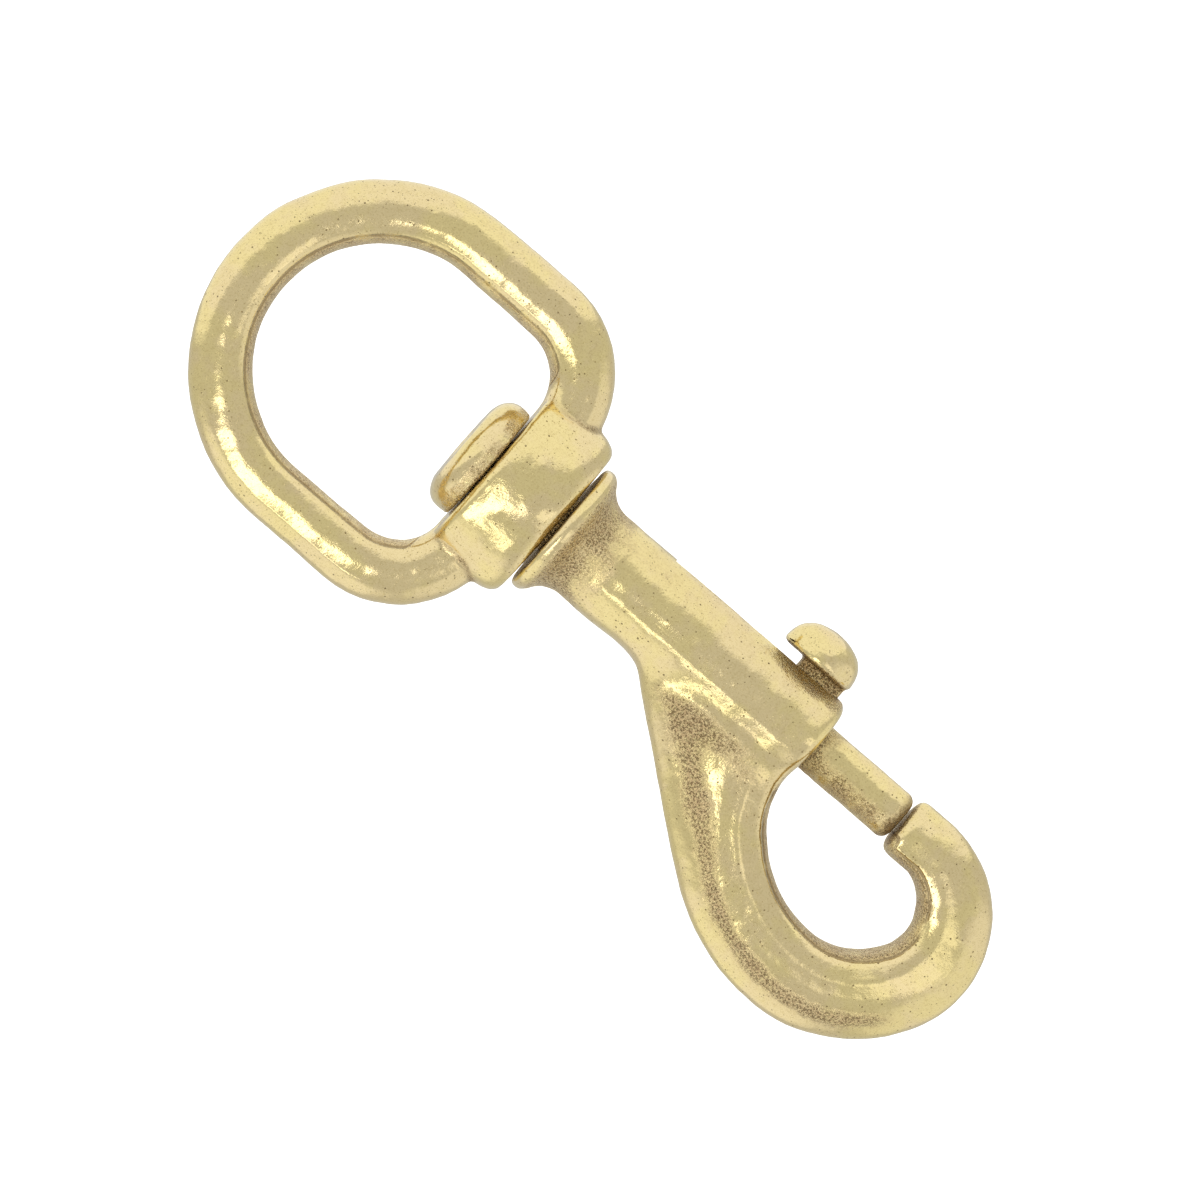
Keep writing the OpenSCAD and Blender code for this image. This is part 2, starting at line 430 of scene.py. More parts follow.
    @staticmethod
    def finish(piece: bpy.types.Object, edge: float = 40) -> None:
        """Shades a piece smooth, with edges sharper than an angle in degrees left crisp.

        Args:
            piece: The piece.
            edge: The angle.
        """
        Bench.take(piece)
        bpy.ops.object.shade_smooth_by_angle(angle=math.radians(edge))


class Skin:
    """Reads and writes a mesh's points as arrays, in millimetres."""

    @staticmethod
    def points(piece: bpy.types.Object) -> np.ndarray:
        """Every point of a piece, one row each.

        Args:
            piece: The piece.

        Returns:
            Its points, in millimetres.
        """
        flat = np.zeros(len(piece.data.vertices) * 3, np.float32)
        piece.data.vertices.foreach_get("co", flat)
        return flat.reshape(-1, 3).astype(float) / MM

    @staticmethod
    def move(piece: bpy.types.Object, points: np.ndarray) -> None:
        """Puts every point of a piece in a new place.

        Args:
            piece: The piece.
            points: Its new points, in millimetres.
        """
        piece.data.vertices.foreach_set("co", (points * MM).astype(np.float32).ravel())
        piece.data.update()

    @staticmethod
    def normals(piece: bpy.types.Object) -> np.ndarray:
        """The way that the skin faces at every point.

        Args:
            piece: The piece.

        Returns:
            One unit vector to a point.
        """
        flat = np.zeros(len(piece.data.vertices) * 3, np.float32)
        piece.data.vertex_normals.foreach_get("vector", flat)
        return flat.reshape(-1, 3).astype(float)

    @staticmethod
    def edges(piece: bpy.types.Object) -> np.ndarray:
        """The two points of every edge.

        Args:
            piece: The piece.

        Returns:
            One row of two point numbers to an edge.
        """
        flat = np.zeros(len(piece.data.edges) * 2, np.int32)
        piece.data.edges.foreach_get("vertices", flat)
        return flat.reshape(-1, 2)

    @staticmethod
    def spread(values: np.ndarray, edges: np.ndarray, passes: int) -> np.ndarray:
        """Evens out values, one or more to a point, over a mesh's edges.

        Args:
            values: The values, one row to a point.
            edges: The mesh's edges.
            passes: How many times.

        Returns:
            The evened values, in the same shape.
        """
        count = np.bincount(edges.ravel(), minlength=len(values)).astype(float)
        table = values.reshape(len(values), -1).astype(float)
        for _ in range(passes):
            for column in range(table.shape[1]):
                near = np.bincount(edges[:, 0], table[edges[:, 1], column], len(table))
                near += np.bincount(edges[:, 1], table[edges[:, 0], column], len(table))
                table[:, column] = 0.5 * table[:, column] + 0.5 * near / np.maximum(count, 1)
        return table.reshape(values.shape)

    @staticmethod
    def hollows(piece: bpy.types.Object, passes: int, full: float) -> np.ndarray:
        """How deep each point lies in a hollow of the skin.

        Args:
            piece: The piece.
            passes: How widely the skin is evened out to find its hollows.
            full: The depth, in millimetres, that counts as 1.

        Returns:
            0 on open skin up to 1 in a hollow, one value to a point.
        """
        points = Skin.points(piece)
        edges = Skin.edges(piece)
        even = Skin.spread(points, edges, passes)
        depth = ((even - points) * Skin.normals(piece)).sum(1)
        return Skin.spread(np.clip(depth / full, 0, 1), edges, 3)

    @staticmethod
    def keep(piece: bpy.types.Object, mask: Mask, values: np.ndarray) -> None:
        """Keeps one value for each point under a mask's name.

        Args:
            piece: The piece.
            mask: The name that they are kept under.
            values: One value to a point.
        """
        made = piece.data.attributes.new(mask.value, "FLOAT", "POINT")
        made.data.foreach_set("value", np.clip(values, 0, 1).astype(np.float32))

    @staticmethod
    def keep_wear_and_shade(
        piece: bpy.types.Object,
        wear_and_shade: Sequence[WearAndShade],
        places: dict[str, np.ndarray],
        blur: tuple[int, int] = (0, 0),
    ) -> None:
        """Adds up the wear, grime and painted shade of a piece's places, and keeps it for the finish.

        Args:
            piece: The piece.
            wear_and_shade: How rough each place is, and how much grime and painted shade it carries.
            places: How far each point belongs to a place, from 0 to 1, under the place's name.
            blur: How many times the roughness and the grime with its painted shade are evened out over the
                skin.
        """
        edges = Skin.edges(piece)
        rough = sum(spot.rough * places[spot.place] for spot in wear_and_shade)
        # Grime plus painted shade: hollows, bores, slots, undersides and faces between parts are painted
        # darker.
        grime = sum(spot.grime * places[spot.place] for spot in wear_and_shade)
        Skin.keep(piece, Mask.ROUGH, Skin.spread(np.clip(rough, 0, 1), edges, blur[0]))
        Skin.keep(piece, Mask.GRIME, Skin.spread(np.clip(grime, 0, 1), edges, blur[1]))


def ramp(values: np.ndarray, low: float, high: float) -> np.ndarray:
    """0 at low, 1 at high and an even curve between them. low may be the larger.

    Args:
        values: The values.
        low: Where the ramp is 0.
        high: Where it is 1.

    Returns:
        One share to a value.
    """
    share = np.clip((values - low) / (high - low), 0, 1)
    return share * share * (3 - 2 * share)


def hump(values: np.ndarray, middle: float, half: float) -> np.ndarray:
    """1 at the middle, falling away like a bell whose half width is half."""
    return np.exp(-(((values - middle) / half) ** 2))


def arc(
    cx: float, cy: float, radius: float, start: float, stop: float, steps: int
) -> list[tuple[float, float, float]]:
    """Points round an arc, with the way the arc runs there.

    Args:
        cx: The centre's x.
        cy: The centre's y.
        radius: The arc's radius.
        start: The angle of the first point, in degrees.
        stop: The angle of the last point.
        steps: The number of steps between them.

    Returns:
        One (x, y, direction in degrees) for each point, going anticlockwise.
    """
    found = []
    for step in range(steps + 1):
        angle = start + (stop - start) * step / steps
        x = cx + radius * math.cos(math.radians(angle))
        y = cy + radius * math.sin(math.radians(angle))
        found.append((x, y, angle + 90))
    return found


def between(pairs: Sequence[tuple[float, float]], at: float) -> float:
    """A value read off a list of (place, value) pairs, in a straight line between them."""
    return float(np.interp(at, [place for place, _ in pairs], [value for _, value in pairs]))


def bend(radius: float, angle: float) -> tuple[float, float]:
    """How far a quarter round has come along and out, at an angle in degrees."""
    return radius * (1 - math.cos(math.radians(angle))), radius * (1 - math.sin(math.radians(angle)))


def inner_line(stations: Sequence[Station]) -> np.ndarray:
    """Points close together along the inner side of a bar, one row each, in millimetres.

    Args:
        stations: The bar's rings, in order.

    Returns:
        The points, five to a ring.
    """
    found = []
    for station in stations:
        a = math.radians(station.turn)
        half = station.width / 2
        found.append((station.x - half * math.sin(a), station.y + half * math.cos(a)))
    line = np.array(found)
    steps = np.linspace(0, len(line) - 1, len(line) * 5)
    index = np.arange(len(line))
    return np.stack([np.interp(steps, index, line[:, 0]), np.interp(steps, index, line[:, 1])], 1)


def distance(points: np.ndarray, line: np.ndarray) -> np.ndarray:
    """How far each point is, in the hook's plane, from a line of points.

    Args:
        points: The points, one row each.
        line: The line's points, one row each.

    Returns:
        One distance to a point.
    """
    found = np.full(len(points), FAR)
    for x, y in line:
        found = np.minimum(found, (points[:, 0] - x) ** 2 + (points[:, 1] - y) ** 2)
    return np.sqrt(found)


# ------------------------------------------------------------------ finishes


class Graph:
    """The nodes of a material or of the world, added one at a time."""

    SMALLEST_PIT = 0.4

    def __init__(self, owner: bpy.types.Material | bpy.types.World) -> None:
        """Starts with an empty graph.

        Args:
            owner: The material or the world.
        """
        owner.use_nodes = True
        self.tree = owner.node_tree
        self.tree.nodes.clear()
        places = self.add("ShaderNodeTexCoord")
        self.place = places.outputs["Object"]
        self.way = places.outputs["Generated"]

    def add(self, kind: str, **settings: object) -> bpy.types.Node:
        """Adds a node and sets its properties.

        Args:
            kind: The node's type.
            settings: Its properties.

        Returns:
            The node.
        """
        node = self.tree.nodes.new(kind)
        for key, value in settings.items():
            setattr(node, key, value)
        return node

    def put(self, socket: Socket, value: object) -> None:
        """Links an output to an input, or sets the input to a plain value.

        Args:
            socket: The input.
            value: An output of another node, or a number, colour or vector.
        """
        if isinstance(value, Socket):
            self.tree.links.new(value, socket)
        else:
            socket.default_value = value

    def math(self, operation: str, a: Level, b: Level = 0.0, clamp: bool = False) -> Socket:
        """One sum on two values.

        Args:
            operation: The kind of sum.
            a: The first value.
            b: The second value.
            clamp: Whether the result is held between 0 and 1.

        Returns:
            The result.
        """
        node = self.add("ShaderNodeMath", operation=operation, use_clamp=clamp)
        self.put(node.inputs[0], a)
        self.put(node.inputs[1], b)
        return node.outputs[0]

    def times(self, a: Level, b: Level, clamp: bool = False) -> Socket:
        """The product of two values."""
        return self.math("MULTIPLY", a, b, clamp)

    def plus(self, a: Level, b: Level, clamp: bool = False) -> Socket:
        """The sum of two values."""
        return self.math("ADD", a, b, clamp)

    def band(
        self, value: Level, low: float, high: float, to_low: float = 0.0, to_high: float = 1.0
    ) -> Socket:
        """Maps a value from one range to another with an even curve.

        Args:
            value: The value.
            low: The start of its range.
            high: The end of its range.
            to_low: What low becomes.
            to_high: What high becomes.

        Returns:
            The mapped value.
        """
        node = self.add("ShaderNodeMapRange", interpolation_type="SMOOTHSTEP")
        names = ("Value", "From Min", "From Max", "To Min", "To Max")
        for key, number in zip(names, (value, low, high, to_low, to_high)):
            self.put(node.inputs[key], number)
        return node.outputs["Result"]

    def noise(
        self,
        size: float,
        detail: float = 3,
        roughness: float = 0.55,
        stretch: Sequence[float] = (1, 1, 1),
        seed: float = 0.0,
    ) -> Socket:
        """Smooth noise whose features are size millimetres across.

        Args:
            size: The size of the features.
            detail: How many finer layers it has.
            roughness: How strong those are.
            stretch: Its scale along each axis.
            seed: How far it is shifted, in metres.

        Returns:
            A value round 0.5.
        """
        mapping = self.add("ShaderNodeMapping")
        mapping.inputs["Location"].default_value = (seed, seed * 0.7, seed * 0.3)
        mapping.inputs["Scale"].default_value = stretch
        self.put(mapping.inputs["Vector"], self.place)
        node = self.add("ShaderNodeTexNoise")
        self.put(node.inputs["Vector"], mapping.outputs[0])
        node.inputs["Scale"].default_value = 1 / (size * MM)
        node.inputs["Detail"].default_value = detail
        node.inputs["Roughness"].default_value = roughness
        return node.outputs["Fac"]

    def specks(self, size: float, share: float, radius: float) -> Socket:
        """Round pits scattered one to a cell.

        Args:
            size: The size of a cell, in millimetres.
            share: The share of the cells that hold a pit.
            radius: A pit's radius as a share of the cell's size.

        Returns:
            1 in the middle of a pit down to 0 outside it.
        """
        cells = self.add("ShaderNodeTexVoronoi")
        self.put(cells.inputs["Vector"], self.place)
        cells.inputs["Scale"].default_value = 1 / (size * MM)
        split = self.add("ShaderNodeSeparateColor")
        self.put(split.inputs[0], cells.outputs["Color"])
        chosen = self.math("LESS_THAN", split.outputs[0], share)
        reach = self.band(split.outputs[1], 0, 1, radius * self.SMALLEST_PIT, radius)
        inside = self.math("SUBTRACT", 1.0, self.math("DIVIDE", cells.outputs["Distance"], reach), clamp=True)
        return self.math("MULTIPLY", self.band(inside, 0, 0.5), chosen)

    def mask(self, mask: Mask) -> Socket:
        """A value kept on the piece's vertices."""
        return self.add("ShaderNodeAttribute", attribute_name=mask.value).outputs["Fac"]

    def mix(self, share: Level, a: Socket | Colour, b: Socket | Colour) -> Socket:
        """A colour between two colours.

        Args:
            share: How much of the second there is.
            a: The first colour.
            b: The second colour.

        Returns:
            The mixed colour.
        """
        node = self.add("ShaderNodeMix", data_type="RGBA")
        self.put(node.inputs["Factor"], share)
        self.put(node.inputs["A"], a)
        self.put(node.inputs["B"], b)
        return node.outputs["Result"]

    def bump(self, height: Level, reach: float, strength: float, below: Socket | None = None) -> Socket:
        """A dent map whose full height is reach millimetres.

        Args:
            height: The height, from 0 to 1.
            reach: The full height.
            strength: How much of it shows.
            below: A dent map that this one lies on.

        Returns:
            The dent map.
        """
        node = self.add("ShaderNodeBump")
        node.inputs["Strength"].default_value = strength
        node.inputs["Distance"].default_value = reach * MM
        self.put(node.inputs["Height"], height)
        if below is not None:
            self.put(node.inputs["Normal"], below)
        return node.outputs["Normal"]

    def metal(self, tone: Socket, roughness: Socket, normal: Socket) -> None:
        """Ends a material in a metal shader.

        Args:
            tone: The metal's colour.
            roughness: How dull it is.
            normal: Its dent map.
        """
        shader = self.add("ShaderNodeBsdfPrincipled")
        shader.inputs["Metallic"].default_value = 1.0
        self.put(shader.inputs["Base Color"], tone)
        self.put(shader.inputs["Roughness"], roughness)
        self.put(shader.inputs["Normal"], normal)
        out = self.add("ShaderNodeOutputMaterial")
        self.put(out.inputs["Surface"], shader.outputs[0])


@dataclass(frozen=True)
class Grains:
    """The noise patterns in one brass surface, from the broadest to the finest."""

    broad: Socket
    patches: Socket
    mottle: Socket
    grain: Socket
    fine: Socket


@dataclass(frozen=True)
class Marks:
    """What a brass surface carries, each from 0 to 1: unpolished skin, grime with painted shade, a crease
    line of painted shade and pits.
    """

    rough: Socket
    grime: Socket
    crease: Socket
    pits: Socket


@dataclass(frozen=True)
class BrassFinish:
    """A brass surface: polished metal, unpolished casting skin, pits, grime, and painted shade in hollows,
    bores, between parts and along the crease.

    The sizes of the patterns and the depths of the dents are in millimetres. pits is the share of
    the metal's cells that hold a lone pit.
    """

    name: str
    bright: Colour = (0.94, 0.79, 0.38, 1)
    warm: Colour = (0.92, 0.76, 0.42, 1)
    tarnish: Colour = (0.62, 0.48, 0.20, 1)
    skin: Colour = (0.62, 0.44, 0.22, 1)
    # The dark of grime, of painted shade and of the pits.
    grime: Colour = (0.16, 0.09, 0.035, 1)
    polish: float = 0.1
    skin_roughness: float = 0.26
    worn_roughness: float = 0.25
    pits: float = 0.55
    pit_dark: float = 0.72
    pit_depth: float = 0.08
    # How dark the painted shade along the crease is.
    crease_shade: float = 0.6
    leather: float = 0.02
    teeth: float = 0.17
    broad_size: float = 7.5
    patch_size: float = 2.6
    mottle_size: float = 0.8
    grain_size: float = 0.3
    fine_size: float = 0.2
    crowd_size: float = 0.22
    seed: float = 0.0

    def grains(self, g: Graph) -> Grains:
        """Lays down the patterns, each with a seed of its own.

        Args:
            g: The material's graph.

        Returns:
            The patterns.
        """
        return Grains(
            broad=g.noise(self.broad_size, 2, 0.5, seed=self.seed),
            patches=g.noise(self.patch_size, 4, 0.62, seed=self.seed + 0.01),
            mottle=g.noise(self.mottle_size, 3, 0.6, seed=self.seed + 0.02),
            grain=g.noise(self.grain_size, 3, 0.65, seed=self.seed + 0.03),
            fine=g.noise(self.fine_size, 3, 0.7, seed=self.seed + 0.04),
        )

    def marks(self, g: Graph, n: Grains) -> Marks:
        """Reads the piece's masks, frays their edges and scatters the pits.

        Args:
            g: The material's graph.
            n: Its patterns.

        Returns:
            The marks.
        """
        kept = g.mask(Mask.ROUGH)
        ragged = g.times(g.math("SUBTRACT", n.patches, 0.5), g.band(kept, 0.02, 0.3, 0.0, 1.3))
        rough = g.plus(kept, ragged, clamp=True)
        off_crease = g.math("ABSOLUTE", g.math("SUBTRACT", g.mask(Mask.CREASE), 0.5))
        off_crease = g.plus(off_crease, g.times(g.math("SUBTRACT", n.mottle, 0.5), 0.06))
        # A thin line of painted shade where the face meets the inner wall, also pressed in as a dent.
        crease = g.times(g.band(off_crease, 0.11, 0.02), g.band(n.patches, 0.32, 0.5, 0.35, 1.0))
        crowd = g.band(g.noise(self.crowd_size, 3, 0.75, seed=self.seed + 0.05), 0.5, 0.62)
        crowd = g.times(crowd, g.band(rough, 0.2, 0.8))
        pits = g.math("MAXIMUM", g.specks(0.55, self.pits, 0.22), crowd)
        pits = g.math("MAXIMUM", pits, g.times(g.specks(0.3, 0.6, 0.28), 0.45))
        return Marks(rough, g.mask(Mask.GRIME), crease, pits)

    def tone(self, g: Graph, n: Grains, marks: Marks) -> Socket:
        """Mixes the colours: metal, tarnish, casting skin, grime with painted shade, the painted shade along
        the crease and the dark of the pits.

        Args:
            g: The material's graph.
            n: Its patterns.
            marks: Its marks.

        Returns:
            The surface's colour.
        """
        yellow = g.band(g.plus(n.broad, g.times(n.patches, 0.6)), 0.7, 0.9)
        cloudy = g.plus(g.band(n.mottle, 0.45, 0.75, 0.0, 0.15), g.band(n.fine, 0.48, 0.66, 0.0, 0.4))
        metal = g.mix(cloudy, g.mix(yellow, self.bright, self.warm), self.tarnish)
        skin = g.mix(g.band(n.grain, 0.4, 0.75, 0.0, 0.7), self.skin, self.warm)
        tone = g.mix(g.times(marks.rough, g.band(n.grain, 0.66, 0.4, 0.45, 1)), metal, skin)
        # Grime and painted shade from the mask, with the crease's painted shade laid over it.
        dirt_and_shade = g.times(marks.grime, g.band(n.patches, 0.25, 0.6, 0.75, 1.0), clamp=True)
        dirt_and_shade = g.math("MAXIMUM", dirt_and_shade, g.times(marks.crease, self.crease_shade))
        return g.mix(g.times(marks.pits, self.pit_dark), g.mix(dirt_and_shade, tone, self.grime), self.grime)

    def dullness(self, g: Graph, n: Grains, marks: Marks) -> Socket:
        """Polish that varies a little, duller on the skin and where the surface is worn.

        Args:
            g: The material's graph.
            n: Its patterns.
            marks: Its marks.

        Returns:
            Its roughness.
        """
        level = g.band(n.broad, 0.3, 0.7, self.polish * 0.8, self.polish * 1.25)
        level = g.plus(level, g.times(marks.rough, self.skin_roughness - self.polish))
        worn = g.math("MAXIMUM", marks.pits, g.math("MAXIMUM", marks.grime, marks.crease))
        return g.plus(level, g.times(worn, self.worn_roughness), clamp=True)

    def dents(self, g: Graph, n: Grains, marks: Marks) -> Socket:
        """Soft waves, then the casting's tooth, then the pits and the crease.

        Args:
            g: The material's graph.
            n: Its patterns.
            marks: Its marks.

        Returns:
            Its dent map.
        """
        waves = g.bump(n.mottle, self.leather, 1.0)
        teeth = g.times(g.plus(n.grain, g.times(n.fine, 0.5)), g.band(marks.rough, 0.05, 0.7, 0.06, 1.0))
        sunk = g.math("SUBTRACT", 1.0, g.math("MAXIMUM", marks.pits, marks.crease))
        return g.bump(sunk, self.pit_depth, 1.0, g.bump(teeth, self.teeth, 1.0, waves))

    def make(self) -> bpy.types.Material:
        """Builds the material.

        Returns:
            The finished material, which reads the masks on its piece.
        """
        material = bpy.data.materials.new(self.name)
        g = Graph(material)
        n = self.grains(g)
        marks = self.marks(g, n)
        g.metal(self.tone(g, n, marks), self.dullness(g, n, marks), self.dents(g, n, marks))
        return material


@dataclass(frozen=True)
class WireFinish:
    """Drawn steel wire with a little rust. The sizes of its patterns are in millimetres."""

    name: str
    steel: Colour = (0.46, 0.45, 0.44, 1)
    rust: Colour = (0.22, 0.12, 0.06, 1)
    rust_size: float = 1.4
    line_size: float = 0.08
    line_depth: float = 0.02

    def make(self) -> bpy.types.Material:
        """Builds the material.

        Returns:
            The finished material.
        """
        material = bpy.data.materials.new(self.name)
        g = Graph(material)
        patches = g.noise(self.rust_size, 4, 0.6)
        drawn = g.noise(self.line_size, 3, 0.6, stretch=(0.3, 1, 1))
        tone = g.mix(g.band(patches, 0.5, 0.72, 0, 0.8), self.steel, self.rust)
        g.metal(tone, g.band(patches, 0.35, 0.7, 0.28, 0.6), g.bump(drawn, self.line_depth, 0.6))
        return material


# ------------------------------------------------------------------ the object's pieces


class Piece:
    """What every piece of the snap has in common."""

    node: str
    body: Body
    slot: Slot

    def hand_over(self, piece: bpy.types.Object, material: bpy.types.Material) -> bpy.types.Object:
        """Gives a finished piece its material and body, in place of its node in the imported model.

        Args:
            piece: The finished piece.
            material: Its finish.

        Returns:
            The same piece.
        """
        piece.data.materials.clear()
        piece.data.materials.append(material)
        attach(piece, self.body.value)
        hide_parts(self.node)
        log.info("%s: %d faces", piece.name, len(piece.data.polygons))
        return piece


@dataclass
class SwivelEye(Piece):
    """The cast strap eye and the collar that it turns on, sizes in millimetres."""

    node: str = "swivel_eye"
    body: Body = Body.EYE
    slot: Slot = Slot.CAST
    bar: float = 6.4
    corner_bar: float = 6.6
    straight: float = 9.0
    corner_radius: float = 8.5
    section: Section = Section(48, wall=0.68, bulge=0.72, level=0.86, crown=0.6)
    wall: float = 0.75
    collar_length: float = 8.6
    bore: float = 3.3
    grain: float = 0.21
    finish: BrassFinish = BrassFinish("tumbled_cast_brass_eye", skin=(0.80, 0.61, 0.37, 1), seed=0.4)
    dents: tuple[tuple[int, float, float, float], ...] = (
        (1, -4.6, 19.8, 2.4), (1, -0.6, 17.2, 2.8), (1, 2.6, 20.6, 2.2), (1, 6.0, 18.2, 2.6),
        (-1, -5.2, 19.0, 2.4), (-1, 0.8, 18.4, 2.8), (-1, 5.6, 20.2, 2.4),
    )
    dent_depth: float = 0.10
    # Darkening: painted shade in the hollows and down the bore, and a little real grime on the inner wall.
    wear_and_shade: tuple[WearAndShade, ...] = (
        WearAndShade("wall", 0.5, 0.05), WearAndShade("hollow", 0.6, 0.35), WearAndShade("root", 0.5), WearAndShade("bore", 0.0, 0.9),
    )

    def __post_init__(self) -> None:
        """Reads the eye's reach and the collar's place from the frame."""
        _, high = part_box(self.node)
        self.middle = high.y / MM - self.bar / 2
        self.collar_end = high.x / MM
        self.collar_start = self.collar_end - self.collar_length
        self.collar_depth = high.z / MM

    def route(self) -> list[Station]:
        """The rings of the round bar, from one side of the collar round to the other.

        Returns:
            The rings, in order.
        """
        side = self.middle - self.corner_radius
        route = arc(self.straight, side, self.corner_radius, -8, 90, 14)
        route += [(self.straight * share, self.middle, 180) for share in (0.75, 0.5, 0.25)]
        route += arc(0, 0, self.middle, 90, 270, 44)
        route += [(self.straight * share, -self.middle, 360) for share in (0.25, 0.5, 0.75)]
        route += arc(self.straight, -side, self.corner_radius, 270, 368, 14)
        stations = []
        for x, y, turn in route:
            corner = math.exp(-(((x - self.straight - 4) / 5) ** 2))
            width = self.bar + (self.corner_bar - self.bar) * corner
            stations.append(Station(x, y, turn, width, self.bar))
        return stations

    def collar(self) -> bpy.types.Object:
        """The crowned block that the loop runs into, chamfered at one end and bevelled at the other.

        Returns:
            The collar, not yet bored.
        """
        x0, length, depth = self.collar_start, self.collar_length, 2 * self.collar_depth
        profile = [
            (0.0, 18.3, 0.87), (0.05, 19.1, 0.95), (0.08, 19.3, 0.97), (0.2, 19.6, 0.99),
            (0.4, 19.8, 1.0), (0.6, 19.75, 0.995), (0.75, 19.6, 0.985), (0.84, 19.3, 0.965),
            (0.93, 18.7, 0.925), (0.98, 17.9, 0.88), (1.0, 17.2, 0.84),
        ]
        stations = [Station(x0 + length * at, 0, 0, width, depth * share) for at, width, share in profile]
        return Bench.bar("collar", stations, Section(72))

    def build(self) -> bpy.types.Object:
        """Casts the eye, bores it and marks where it stayed rough.

        Returns:
            The finished piece.
        """
        loop = Bench.bar("loop", self.route(), self.section)
        piece = Bench.merge([loop, self.collar()], "strap_eye")
        Bench.cast(piece, self.grain, soften=2)
        Bench.soften_where(piece, self.joint, passes=9)
        self.hammer(piece)
        Bench.beat(piece, size=5.5, height=0.2)
        Bench.beat(piece, size=1.5, height=0.05)
        ends = ((self.collar_start - 4, self.bore), (self.collar_end + 2, self.bore))
        Bench.cut(piece, Bench.turned("drill", ends, 96))
        self.mark(piece)
        Bench.finish(piece)
        return self.hand_over(piece, self.finish.make())

    def joint(self, points: np.ndarray) -> np.ndarray:
        """1 where the loop runs into the collar's front, down to 0 away from there.

        Args:
            points: The points, one row each, in millimetres.

        Returns:
            One weight to a point.
        """
        x = points[:, 0]
        near = ramp(x, self.collar_start - 3, self.collar_start - 0.8)
        near *= ramp(x, self.collar_start + 2.0, self.collar_start + 0.6)
        return near * ramp(np.abs(points[:, 1]), 5.5, 7.5)

    def hammer(self, piece: bpy.types.Object) -> None:
        """Leaves a few shallow dents on the collar's faces.

        Args:
            piece: The eye.
        """
        p = Skin.points(piece)
        for side, y, x, size in self.dents:
            on = (np.sign(p[:, 2]) == side) * ramp(p[:, 0], self.collar_start, self.collar_start + 1)
            away = np.hypot(p[:, 1] - y, p[:, 0] - x)
            p[:, 2] -= side * self.dent_depth * ramp(away, size * 1.25, 0) * on
        Skin.move(piece, p)

    def mark(self, piece: bpy.types.Object) -> None:
        """Works out where the casting stayed rough, where grime and painted shade sit and where the wall's
        edge runs.

        Args:
            piece: The eye.
        """
        p = Skin.points(piece)
        inner = distance(p, inner_line(self.route()))
        in_loop = ramp(p[:, 0], self.collar_start - 0.2, self.collar_start - 1.2)
        wall = ramp(inner, self.wall + 0.12, self.wall - 0.12) * in_loop
        root = hump(p[:, 0], self.collar_start - 0.8, 1.6) * ramp(np.abs(p[:, 1]), 9.2, 6.5) * in_loop
        # Painted shade down the rivet's bore.
        in_bore = (np.hypot(p[:, 1], p[:, 2]) < self.bore + 0.2) * (p[:, 0] > self.collar_start - 1)
        # Hollows: rough cast skin, with painted shade.
        hollow = Skin.hollows(piece, passes=20, full=0.09)
        places = {"wall": wall, "hollow": hollow, "root": root, "bore": in_bore}
        Skin.keep_wear_and_shade(piece, self.wear_and_shade, places, blur=(2, 0))
        Skin.keep(piece, Mask.CREASE, 1 - in_loop + in_loop * (0.5 + (inner - self.wall) / 2))


